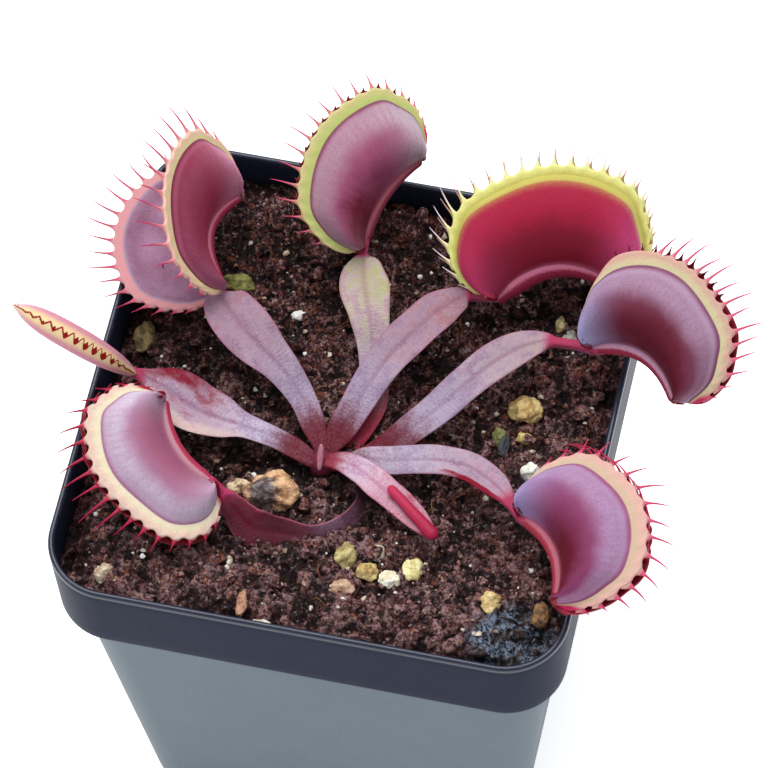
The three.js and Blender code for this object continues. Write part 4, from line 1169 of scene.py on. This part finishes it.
def lobe_shape(shape, trap, side, settings):
    """One lobe as a closed plate: outer face, round margin and inner face, and its teeth."""
    shares, runs = margin_run(trap)
    s = np.interp(np.linspace(0.002, 0.998, LOBE_ROWS), runs, shares)[:, None]
    rise = np.concatenate([np.linspace(0, 0.9, 19), np.linspace(0.925, 1.1, 8), np.linspace(1.2, 2, 9)])[None]
    ss, rr = np.broadcast_arrays(s, rise)
    outer = lobe_points(trap, ss, rr, side, settings)
    normal = unit(np.cross(np.gradient(outer, axis=1), np.gradient(outer, axis=0)))
    normal *= np.sign(normal[:, 10:11, 1:2] * side)
    wall = settings.wall / MM * (0.15 + 0.85 * smooth_step(np.minimum(ss, 1 - ss) / 0.09))
    if "seam" in trap:
        wall = wall * (1 - 0.7 * np.clip(rr - 1, 0, 1))
    wall = wall[..., None]
    inner = outer - wall * normal
    edge_normal = normal[:, -1]
    outward = unit(outer[:, -1] - outer[:, -3])
    turn = np.linspace(0, math.pi, 7)[1:-1]
    half = wall[:, -1] / 2
    middle = outer[:, -1] - edge_normal * half
    lip = np.stack([middle + half * (math.cos(a) * edge_normal + math.sin(a) * outward) for a in turn], 1)
    rings = np.concatenate([outer, lip, inner[:, ::-2]], 1)
    inner_rise = rr[:, ::-2]
    form_rise = np.concatenate([rr, np.full(lip.shape[:2], 2.0), inner_rise], 1)
    turned = np.broadcast_to(1 - turn / math.pi, lip.shape[:2])
    layer = np.concatenate([np.ones(rr.shape), turned, np.zeros(inner_rise.shape)], 1)
    shape.loft(rings[:, ::side], triples(s, form_rise, layer)[:, ::side], (0, side, 0))
    if "seam" in trap:
        return
    places, step = tooth_places(trap, side)
    _count, first, last, lengths, bend, drifts = trap["near" if side < 0 else "far"]
    for index, place in enumerate(places):
        chance, sway = (hashed(index, int(trap["heading"]) + TOOTH_SEED, side + n) for n in (5, 9))
        share = (place - first) / (last - first)
        size = float(smooth_curve(lengths, share)) * (0.85 + 0.3 * chance)
        drift = float(smooth_curve(drifts, share)) + (sway - 0.5) * 0.25
        spots = np.interp([place, place - step / 2, place + step / 2, place], runs, shares)
        tooth_shape(shape, trap, side, spots, size, math.radians(bend), drift, settings)


def tooth_shape(shape, trap, side, spots, size, bend, drift, settings):
    """A spine with a broad flat root in the flange, which turns from the flange's plane to its own way."""
    at = lobe_points(trap, spots, np.array([2.0, 2.0, 2.0, 1.7]), side, settings)
    outward = unit(at[0] - at[3])
    margin = unit(at[2] - at[1])
    normal = unit(np.cross(margin, outward))
    normal = normal * np.sign(normal[1] * side)
    slim = trap["slim"]
    broad = (np.linalg.norm(at[2] - at[1]) - slim) * trap["broad"]
    root = at[0] - normal * (settings.wall / MM) / 2 - outward * TOOTH_SUNK
    last = unit(outward * math.cos(bend) + np.array([0.0, -side, 0.0]) * math.sin(bend) + margin * drift)
    first = unit(outward + last * min(1, abs(drift)))
    t = (np.linspace(0, 1, 13) ** 1.2)[:, None]
    spread = (size + TOOTH_SUNK) * t
    path = root + (size + TOOTH_SUNK) * (first * (t - t**2 / 2) + last * (t**2 / 2))
    tangent = unit(first * (1 - t) + last * t)
    wide_axis = unit(margin - tangent * (tangent @ margin)[:, None])
    thin_axis = np.cross(tangent, wide_axis)
    thin_axis *= np.sign(thin_axis[:1] @ normal)[:, None]
    girth = slim * min(1, 0.5 + size / 7) * (1 - 0.84 * t)
    wide = girth + broad * np.exp(-((spread / 1.15) ** 2))
    thin = 0.2 * np.exp(-spread / 2.0) + girth * 0.85
    angles = round_angles(8)
    shown = np.clip((spread - TOOTH_SUNK) / size, 0, 1)
    form = triples(spots[0], 2 + t, 0.5 + 0.5 * np.sin(angles))
    shape.loft(tube(path, wide_axis, thin_axis, wide / 2, thin / 2, angles), form, triples(shown, side, 1))


def midrib_shape(shape, trap, settings):
    """The cord that both lobes hinge on, round at its root and slimmer to its far end."""
    g = np.linspace(-0.025, 1.012, 60)
    across = np.array([0.0, 1.0, 0.0])
    up = np.cross(unit(midrib_points(trap, g + 0.01) - midrib_points(trap, g - 0.01)), across)
    up *= np.sign(up[:, 2:3])
    radius = settings.midrib / MM * trap["midrib"] * (1 - 0.3 * np.clip(g, 0, 1) ** 2)
    radius = radius * (0.66 + 0.34 * smooth_step((g + 0.02) / 0.14))
    radius = radius * np.sqrt(np.clip(1.0 - np.maximum(0, (g - 0.97) / 0.043) ** 2, 0.02, 1))
    angles = round_angles(20)
    radius = radius[:, None]
    rise = -0.1 - 0.9 * (1 - np.sin(angles)) / 2
    rings = tube(midrib_points(trap, g), across, up, radius * 1.02, radius * 1.05, angles)
    shape.loft(rings, triples((0.16 + 0.68 * g)[:, None], rise, 1))


def trap_matrix(trap):
    """Places a trap by its root, heading, climb and lean."""
    h, c, lean = (math.radians(trap[key]) for key in ("heading", "climb", "lean"))
    along = np.array([math.cos(h) * math.cos(c), math.sin(h) * math.cos(c), math.sin(c)])
    level = np.array([-math.sin(h), math.cos(h), 0])
    across = level * math.cos(lean) + np.cross(along, level) * math.sin(lean)
    matrix = np.eye(4)
    matrix[:3, :3] = np.stack([along, across, np.cross(along, across)], 1)
    matrix[:3, 3] = trap["root"]
    return matrix


def trap_shape(trap, settings):
    """A midrib with its two lobes, and with trigger hairs where they stand open."""
    shape = Shape()
    midrib_shape(shape, trap, settings)
    for side in (-1, 1):
        lobe_shape(shape, trap, side, settings)
        for share, rise in HAIRS if trap["open"] else ():
            root = lobe_points(trap, np.array([share]), np.array([rise]), side, settings)[0]
            path = root - np.array([0, side, 0]) * np.linspace(0.5, 2.4, 9)[:, None]
            path[:, 2] += np.linspace(0, 0.7, 9) ** 2
            strand(shape, path, HAIR_RADIUS, (share, 2.5, 0), (1, 1, 0))
    return shape.moved(trap_matrix(trap))


def pod_shape(tip, end, radius):
    """A closed young pod, thickest near its tip, with a fine seam."""
    tip, end = np.array(tip, float), np.array(end, float)
    along = unit(end - tip)
    side = unit(np.cross((0, 0, 1), along))
    t = (1 - np.cos(math.pi * np.linspace(0, 1, 60)))[:, None] / 2
    full = np.linalg.norm(end - tip) + radius
    run = t * full
    cap = lambda d: np.sqrt(np.clip(1 - (1 - np.clip(d / (radius * 1.1), 0, 1)) ** 2, 0, 1))
    girth = (1 - 0.36 * t) * np.maximum(cap(run) * cap((full - run) * 1.5), 0.03) * radius
    angles = round_angles(40)
    seam = 1 - 0.08 * np.exp(-((np.cos(angles / 2 - math.pi / 4) / 0.08) ** 2))
    rings = tube(tip - along * radius + along * run, side, np.cross(side, along), girth, girth * 0.8 * seam, angles)
    shape = Shape()
    shape.loft(rings, triples(np.sin(angles), t, 1))
    return shape


# Soil

# Low mounds of the soil: height, x, y and the square of their reach.
MOUNDS = ((3.2, 1, 37.5, 22), (1.4, -33, -30, 50), (1.2, 30, -38, 60))
# Layers of clods: size, height and seed.
CLODS = ((4.2, 0.9, 1), (1.9, 0.75, 2), (1.0, 0.5, 3), (0.55, 0.28, 4))
# The bed's skirt down the inside of the pot: heights and how far in each ring lies.
SKIRT = ((80, 0.1), (78.8, 0.3), (76.4, 3.6), (2.2, 10.6))
SOIL_LEVEL = 89.2
SOIL_REACH = 41.5
SOIL_GAP = 0.35  # between the bed's edge and the wall
CORNER_INSET = 1.4  # of the bed's corner radius from the rim's
CROWN_CLEAR = 3.4
LUMP_CUTS = 11
CUT_ALLOWANCE = 1.1  # how much larger a stone starts, as its cuts take some off
STONE_LIFT = 0.3  # of a stone's middle above the soil, as a share of its half height
STONE_LEVEL = 4  # how often a stone's ball is split
FINE_BALL = 600  # a ball with more points than this can show small relief
FIBRE_KEYS = 8
FIBRE_REACH = 42


def crumble(x, y):
    """Gentle swells of the soil's surface, as in the solid."""
    height = 0.55 * np.sin(0.61 * x + 1.3 * np.sin(0.37 * y)) * np.sin(0.53 * y + 0.9)
    height += 0.4 * np.sin(1.31 * x + 0.8 * y + 2.0) * np.sin(1.13 * y - 0.45 * x)
    return height + 0.28 * np.sin(2.3 * x - 1.7 * y + 0.6) * np.sin(1.9 * x + 2.1 * y)


def soil_height(x, y):
    """The soil's surface as in the solid, in millimetres."""
    height = SOIL_LEVEL + 2.2 * smooth_step((-y - 16) / 18)
    height -= 4 * smooth_step((-x - 36) / 7)
    height -= 3 * smooth_step((y - 37) / 6) * smooth_step((x - 2) / 8)
    height -= 1.4 * smooth_step((np.maximum(abs(x), abs(y)) - 39.5) / 3.5)
    for rise, mound_x, mound_y, reach in MOUNDS:
        height += rise * np.exp(-((x - mound_x) ** 2 + (y - mound_y) ** 2) / reach)
    return height + crumble(x, y)


def clod_height(x, y):
    """Height of the rough clods above the soil's smooth surface, and how much of a clod a point is on."""
    flat = triples(x, y, 0.0)
    wx = x + 1.0 * noise(flat, 2.3, 5) + 0.5 * noise(flat, 0.9, 6)
    wy = y + 1.0 * noise(flat, 2.3, 7) + 0.5 * noise(flat, 0.9, 8)
    total, crest = np.zeros_like(x), np.zeros_like(x)
    for size, amount, seed in CLODS:
        away, own = clods(wx, wy, size, seed)
        dome = np.sqrt(np.clip(1 - (away / 0.85) ** 2, 0, 1)) * (0.15 + 1.1 * own**1.5)
        total += amount * dome
        crest += dome * 0.3
    ridges = 1 - 2 * np.abs(noise(flat, 1.5, 15))
    total += 0.3 * ridges + 0.2 * (1 - 2 * np.abs(noise(flat, 0.7, 16))) + 0.18 * noise(flat, 0.4, 11)
    by_crown = np.exp(-((x - CROWN[0]) ** 2 + (y - CROWN[1]) ** 2) / 40)
    return total - 1.5 - 0.8 * by_crown, crest


def soil_shape(soil, half, corner):
    """The rough surface with a skirt down the pot's inside wall and a flat underside."""
    count = soil.cells + 1
    line = np.linspace(-1, 1, count)
    u, v = np.meshgrid(line, line, indexing="ij")
    far = np.maximum(abs(u), abs(v))
    turn = np.arctan2(v, u)
    c, d, reach = abs(np.cos(turn)), abs(np.sin(turn)), 1 - corner / half
    side = 1 / np.maximum(c, d)
    round_ = reach * (c + d) + np.sqrt(np.maximum((reach * (c + d)) ** 2 - 2 * reach**2 + (1 - reach) ** 2, 0))
    edge = np.where(np.minimum(c, d) * side > reach, round_, side) * far * half
    x, y = np.cos(turn) * edge, np.sin(turn) * edge
    rough, crest = clod_height(x, y)
    settle = smooth_step((1 - far) / 0.03)
    top = triples(x, y, soil_height(x, y) + rough * (0.35 + 0.65 * settle)).reshape(-1, 3)
    at = np.arange(count * count).reshape(count, count)
    quads = np.stack([at[:-1, :-1], at[1:, :-1], at[1:, 1:], at[:-1, 1:]], -1).reshape(-1, 4)
    own = hashed(np.floor(x / 3), np.floor(y / 3))
    form = triples(np.clip(crest, 0, 1), own, np.clip(0.5 + rough * 0.35, 0, 1)).reshape(-1, 3)
    shape = Shape()
    shape.add(top, quads.tolist(), form)
    border = np.concatenate([at[:-1, 0], at[-1, :-1], at[:0:-1, -1], at[0, :0:-1]])
    rows = [triples(*(top[border, :2] * (1 - inset / half)).T, height) for height, inset in SKIRT]
    start, n = shape.count, len(border)
    shape.add(np.vstack([*rows, [(0, 0, SKIRT[-1][0])]]), [], (0.1, 0.5, 0.1))
    layers = [border, *(start + k * n + np.arange(n) for k in range(len(SKIRT)))]
    for a, b in zip(layers, layers[1:]):
        shape.faces += [tuple(map(int, quad)) for quad in zip(np.roll(a, -1), a, b, np.roll(b, -1))]
    last, middle = layers[-1], start + len(SKIRT) * n
    shape.faces += [(int(m), int(k), middle) for m, k in zip(np.roll(last, -1), last)]
    return shape


def ground(x, y):
    """Height of the finished soil at single points."""
    x, y = np.atleast_1d(np.asarray(x, float)), np.atleast_1d(np.asarray(y, float))
    return soil_height(x, y) + clod_height(x, y)[0]


def ball(level):
    """Points and faces of a unit ball of triangles."""
    made = bmesh.new()
    bmesh.ops.create_icosphere(made, subdivisions=level, radius=1)
    points = np.array([v.co[:] for v in made.verts])
    faces = np.array([[v.index for v in f.verts] for f in made.faces])
    made.free()
    return points, faces


def scatter(count, seed, half=SOIL_REACH):
    """Repeatable places on the soil, with four more numbers for each."""
    k = np.arange(count)
    draws = [hashed(k, np.full(count, seed), np.full(count, n)) for n in range(6)]
    x, y = (draws[0] * 2 - 1) * half, (draws[1] * 2 - 1) * half
    keep = np.hypot(np.clip(abs(x) - (half - 9), 0, None), np.clip(abs(y) - (half - 9), 0, None)) < 9
    return [values[keep] for values in (x, y, *draws[2:])]


def lump_shape(shape, points, faces, centre, size, seed, rough=0.3, form=(0, 0, 0)):
    """A ball with cut faces and uneven skin, with its own turn."""
    each = np.arange(LUMP_CUTS)
    cuts = unit(triples(*(hashed(each, seed, n) - 0.5 for n in (1, 2, 3))))
    depths = 0.58 + 0.36 * hashed(each, seed, 4)
    bent = np.min(np.where(points @ cuts.T > 0.05, depths / np.maximum(points @ cuts.T, 0.05), 1), axis=1)
    spot = points + seed * 3.7
    bent *= 1 + rough * (noise(spot, 0.9, 21) + 0.5 * noise(spot, 0.4, 22))
    if len(points) > FINE_BALL:
        bent += rough * (0.4 * noise(spot, 0.2, 23) + 0.25 * noise(spot, 0.1, 24))
    turn = Matrix.Rotation(seed * 2.399, 3, "Z") @ Matrix.Rotation(seed * 1.618, 3, "X")
    shape.add((points * bent[:, None] @ np.array(turn).T) * size + centre, faces.tolist(), form)


def under_blade(x, y, z, size):
    """Whether a lump would poke through a blade that lies over it, or stand in the crown."""
    line_x, line_y, line_z, width = np.moveaxis(stalk_lines()[..., :4], -1, 0)
    near = np.hypot(line_x - x, line_y - y) < width / 2 + size
    return np.any(near & (z + size > line_z - 0.5)) or math.hypot(x - CROWN[0], y - CROWN[1]) < CROWN_CLEAR


def lumps_shape(count, seed, level, low, high, rough, half=SOIL_REACH, front=0.0):
    """Scattered lumps on the soil; front is how much fewer of them lie towards the back."""
    points, faces = ball(level)
    shape = Shape()
    x, y, a, b, c, d = scatter(count, seed, half)
    z = ground(x, y)
    for k in range(len(x)):
        size = low + (high - low) * a[k] ** 2.2
        if d[k] > 1 - front * (0.5 + y[k] / 90) or under_blade(x[k], y[k], z[k], size):
            continue
        squat = np.array([1, 0.7 + 0.45 * b[k], 0.55 + 0.35 * c[k]]) * size
        form = (c[k], d[k], 0.45 + 0.5 * b[k])
        lump_shape(shape, points, faces, (x[k], y[k], z[k] + size * 0.2), squat, k + seed, rough, form)
    return shape


def strand(shape, path, radius, form, part=(0, 0, 0)):
    """A thin five-sided strand along a path."""
    tangent = unit(np.gradient(path, axis=0))
    side = unit(np.cross(tangent, (0.13, 0.21, 1.0)))
    ends = np.minimum(np.linspace(0.3, 4, len(path)), np.linspace(4, 0.2, len(path)))
    girth = (radius * np.clip(ends, 0, 1))[:, None]
    shape.loft(tube(path, side, np.cross(tangent, side), girth, girth, round_angles(5)), form, part)


def fibres_shape(soil):
    """Fibres of peat lying over the crumbs."""
    shape = Shape()
    x, y, a, b, c, d = scatter(soil.fibres, seed=83)
    for k in range(len(x)):
        long_ = 1.2 + 4.6 * a[k] ** 2
        bends = (hashed(np.arange(FIBRE_KEYS), k, 3) - 0.5) * 0.8 + (c[k] - 0.5) * 0.35
        heading = b[k] * 2 * math.pi + np.cumsum(bends)
        px = np.clip(x[k] + np.cumsum(np.cos(heading)) * long_ / FIBRE_KEYS, -FIBRE_REACH, FIBRE_REACH)
        py = np.clip(y[k] + np.cumsum(np.sin(heading)) * long_ / FIBRE_KEYS, -FIBRE_REACH, FIBRE_REACH)
        base = ground(px, py)
        arch = np.sin(np.linspace(0, math.pi, FIBRE_KEYS)) * (0.1 + 0.6 * d[k] ** 2)
        pz = np.maximum(base, base.mean()) * 0.5 + base * 0.5 + 0.08 + arch
        if under_blade(x[k], y[k], pz.max(), long_ / 2):
            continue
        path = smooth_curve(triples(px, py, pz), np.linspace(0, 1, 15))
        strand(shape, path, 0.045 + 0.06 * d[k] ** 2, (0.3 * b[k] + 0.7 * c[k] ** 3, 0, 0))
    return shape


def on_soil(x, y):
    """Height of the smooth soil at one place."""
    return float(soil_height(np.float64(x), np.float64(y)))


def scrap_shape():
    """A dry flake with a torn edge, lying on the soil."""
    u, v = np.linspace(-1, 1, 40)[:, None], np.linspace(0, 1, 8)
    torn = 0.9 + 0.45 * np.abs(np.sin(u * 8.2)) - 0.25 * u**2
    low = -0.95 + 0.08 * np.sin(u * 9)
    y, z = low + (torn - low) * v, 0.18 * np.sin(v * 5 + u * 3)
    rings = np.concatenate([triples(3.2 * u, y, z + 0.3), triples(3.2 * u, y, z)[:, ::-1]], 1)
    shape = Shape()
    shape.loft(rings[:, ::-1])
    turn = Matrix.Rotation(math.radians(-8), 4, "Z") @ Matrix.Rotation(math.radians(18), 4, "X")
    return shape.moved(np.array(Matrix.Translation((*SCRAP, on_soil(*SCRAP) + 0.6)) @ turn))


def crown_shape():
    """A short bulb with the folded bud of the next leaf on top."""
    shape = Shape()
    x, y, z = CROWN
    angles = round_angles(28)
    rows = [(0.2, -6), (1.8, -6), (2.2, -4), (2.0, -1.8), (1.2, -0.6), (0.2, -0.2)]
    profile = smooth_curve(rows, np.linspace(0, 1, 24))
    rings = [[(x + r * math.cos(a), y + r * math.sin(a), z + h) for a in angles] for r, h in profile]
    shape.loft(rings, (0.1, 0.1, 0))
    t = np.linspace(-0.999, 0.999, 26)[:, None]
    girth = 0.56 * (1 - t * t) ** 0.35
    path = triples(x - 0.15 * t, y - 0.7 + 1.8 * t, z + 0.8 + 1.5 * t)[:, 0]
    rings = tube(path, (1, 0, 0), (0, 0.64, -0.77), girth, girth, angles)
    shape.loft(rings[::-1], triples(1.0, (t + 1) / 2, 0.0))
    return shape


# Operators

# Area lights: name, the setting with their power, size, place and the point they face, in metres.
LAMPS = (
    ("overhead", "key_power", 0.9, (-0.15, 0.35, 1.15), (0, 0, 0.09)),
    ("side", "fill_power", 0.6, (-0.9, -0.5, 0.7), (0, 0, 0.09)),
)
FLOOR_REACH = 6000
SKY_TINT = (0.88, 0.94, 1.0, 1)
CAMERA_TARGET = (4.58, 4.36, 95)
SENSOR_WIDTH = 36


class FLYTRAP_OT_stage(bpy.types.Operator):
    """Adds the floor, the lights and the camera"""

    bl_idname = "flytrap.stage"
    bl_label = "Stage"

    def execute(self, context):
        stage = context.scene.flytrap_stage
        glow = {"Emission Color": "ffffff", "Emission Strength": stage.floor_glow}
        material = Paint("pale_floor").finish(stage.floor_colour, 0.9, **glow)
        floor = Shape()
        floor.add([(x * FLOOR_REACH, y * FLOOR_REACH, 0) for x, y in ((-1, -1), (1, -1), (1, 1), (-1, 1))], [range(4)])
        piece = floor.solid("floor")
        piece.data.materials.append(material)

        world = bpy.data.worlds.new("studio")
        world.use_nodes = True
        sky = world.node_tree.nodes["Background"].inputs
        sky["Color"].default_value, sky["Strength"].default_value = SKY_TINT, stage.world_strength
        context.scene.world = world

        for name, power, size, place, aim in LAMPS:
            light = bpy.data.lights.new(name, "AREA")
            light.energy, light.size = getattr(stage, power), size
            lamp = placed(name, light)
            lamp.location = place
            lamp.rotation_euler = (Vector(aim) - Vector(place)).to_track_quat("-Z", "Y").to_euler()

        azimuth, elevation, roll = stage.azimuth, stage.elevation, stage.roll
        level = math.cos(elevation)
        back = Vector((math.sin(azimuth) * level, -math.cos(azimuth) * level, math.sin(elevation)))
        right = Vector((math.cos(azimuth), math.sin(azimuth), 0))
        up = back.cross(right)
        turned_right = right * math.cos(roll) + up * math.sin(roll)
        turned_up = up * math.cos(roll) - right * math.sin(roll)
        data = bpy.data.cameras.new("camera")
        data.lens, data.sensor_width, data.sensor_fit = stage.lens, SENSOR_WIDTH, "HORIZONTAL"
        data.clip_start, data.clip_end = 0.01, 20
        camera = placed("camera", data)
        rotation = Matrix((turned_right, turned_up, back)).transposed().to_4x4()
        camera.matrix_world = Matrix.Translation(Vector(CAMERA_TARGET) * MM + back * stage.distance) @ rotation
        context.scene.camera = camera
        context.scene.view_settings.view_transform = "Standard"
        return {"FINISHED"}


class FLYTRAP_OT_pot(bpy.types.Operator):
    """Builds the moulded plastic pot"""

    bl_idname = "flytrap.pot"
    bl_label = "Pot"

    def execute(self, context):
        pot = context.scene.flytrap_pot
        shape = Shape()
        shape.loft(pot_rings(pot))
        piece = shape.piece("pot_shell", plastic_material("slate_plastic", pot), "pot_plastic", ["pot"])
        sides = (-DRAIN_PLACE, DRAIN_PLACE)
        drill(piece, [(x, y) for x in sides for y in sides], DRAIN_RADIUS)
        return {"FINISHED"}


class FLYTRAP_OT_soil(bpy.types.Operator):
    """Builds the peat with its crumbs, fibres and small grains"""

    bl_idname = "flytrap.soil"
    bl_label = "Soil"

    def execute(self, context):
        soil, pot = context.scene.flytrap_soil, context.scene.flytrap_pot
        peat = peat_material("moist_peat", soil)
        half = (pot.rim_width / 2 - pot.wall) / MM - SOIL_GAP
        bed = soil_shape(soil, half, pot.rim_radius / MM - CORNER_INSET)
        bed.piece("soil_bed", peat, "peat_soil", ["soil"])
        crumbs = lumps_shape(soil.crumbs, seed=31, level=3, low=0.5, high=1.7, rough=0.4)
        crumbs.piece("soil_crumbs", peat, "peat_soil")
        bits = lumps_shape(soil.bits, seed=47, level=1, low=0.18, high=0.62, rough=0.6)
        bits.piece("soil_bits", peat, "peat_soil", smooth=False)
        fibres_shape(soil).piece("soil_fibres", fibre_material("peat_fibre"), "peat_soil")
        grains = lumps_shape(soil.grains, seed=57, level=1, low=0.2, high=0.75, rough=0.45, half=40.5, front=0.75)
        grains.piece("soil_grains", grain_material("pale_grain"), "grit", smooth=False)
        return {"FINISHED"}


class FLYTRAP_OT_stones(bpy.types.Operator):
    """Builds the larger stones, the moss and the scrap of old leaf"""

    bl_idname = "flytrap.stones"
    bl_label = "Stones"

    def execute(self, context):
        points, faces = ball(STONE_LEVEL)
        for table in (STONES, SMALL_STONES):
            for index, (name, (x, y, rx, ry, rz, light, dark, *shadow_spot)) in enumerate(table.items()):
                shape = Shape()
                centre = np.array([x, y, on_soil(x, y) + rz * STONE_LIFT])
                size = np.array([rx, ry, rz]) * CUT_ALLOWANCE
                lump_shape(shape, points, faces, centre, size, seed=index + 2, rough=0.22)
                material = stone_material(name + "_stone", light, dark, *shadow_spot)
                shape.piece(name.replace("grit", "stone"), material, "grit", [name] if table is STONES else [])
        scrap_shape().piece("old_leaf", scrap_material("dry_leaf"), "dead_leaf", ["dead_leaf_scrap"])
        return {"FINISHED"}


class FLYTRAP_OT_crown(bpy.types.Operator):
    """Builds the crown with its folded bud"""

    bl_idname = "flytrap.crown"
    bl_label = "Crown"

    def execute(self, context):
        # The last colour is the painted highlight along the bud's crest.
        material = pod_material("bud", "500a18", "a8506c", "dca0b0")
        crown_shape().piece("crown_bud", material, "crown_bud", ["crown"])
        return {"FINISHED"}


class FLYTRAP_OT_leaves(bpy.types.Operator):
    """Builds the leaf stalks"""

    bl_idname = "flytrap.leaves"
    bl_label = "Leaf stalks"

    def execute(self, context):
        leaf = context.scene.flytrap_leaf
        for index, name in enumerate(STALKS):
            node = f"petiole_{name}"
            material = blade_material(f"blade_{name}_skin", BLADE_LOOKS[name], leaf)
            blade_shape(stalk_keys(name), index).piece(f"blade_{name}", material, SLOTS[node], [node])
        return {"FINISHED"}


class FLYTRAP_OT_traps(bpy.types.Operator):
    """Builds the snap traps with their teeth, and the young pod"""

    bl_idname = "flytrap.traps"
    bl_label = "Traps"

    def execute(self, context):
        settings = context.scene.flytrap_trap
        for name, trap in TRAPS.items():
            node = f"trap_{name}"
            material = trap_material(f"lobes_{name}_skin", trap)
            trap_shape(trap, settings).piece(f"lobes_{name}", material, SLOTS[node], [node])
        node = "trap_front_young"
        pod = pod_shape(YOUNG_TIP, YOUNG_END, YOUNG_RADIUS)
        # The last colour is the painted highlight along the pod's crest.
        pod.piece("young_pod", pod_material("young_skin", "8c1430", "c03458", "e08ca4"), SLOTS[node], [node])
        return {"FINISHED"}


class FLYTRAP_PT_panel(bpy.types.Panel):
    """The pieces of the potted plant"""

    bl_idname = "FLYTRAP_PT_panel"
    bl_label = "Potted flytrap"
    bl_space_type = "VIEW_3D"
    bl_region_type = "UI"
    bl_category = "Flytrap"

    def draw(self, context):
        for operator in OPERATORS:
            self.layout.operator(operator.bl_idname)
        for name, group in GROUPS.items():
            box = self.layout.box()
            for key in group.__annotations__:
                box.prop(getattr(context.scene, name), key)


GROUPS = {
    "flytrap_pot": PotSettings,
    "flytrap_soil": SoilSettings,
    "flytrap_leaf": LeafSettings,
    "flytrap_trap": TrapSettings,
    "flytrap_stage": StageSettings,
}
OPERATORS = [
    FLYTRAP_OT_stage,
    FLYTRAP_OT_pot,
    FLYTRAP_OT_soil,
    FLYTRAP_OT_stones,
    FLYTRAP_OT_crown,
    FLYTRAP_OT_leaves,
    FLYTRAP_OT_traps,
]


def register():
    for cls in (*GROUPS.values(), *OPERATORS, FLYTRAP_PT_panel):
        bpy.utils.register_class(cls)
    for name, group in GROUPS.items():
        setattr(bpy.types.Scene, name, PointerProperty(type=group))


def unregister():
    for name in GROUPS:
        delattr(bpy.types.Scene, name)
    for cls in (FLYTRAP_PT_panel, *OPERATORS[::-1], *reversed(GROUPS.values())):
        bpy.utils.unregister_class(cls)


def main():
    register()
    bpy.ops.flytrap.stage()
    bpy.ops.flytrap.pot()
    bpy.ops.flytrap.soil()
    bpy.ops.flytrap.stones()
    bpy.ops.flytrap.crown()
    bpy.ops.flytrap.leaves()
    bpy.ops.flytrap.traps()


if __name__ == "__main__":
    main()
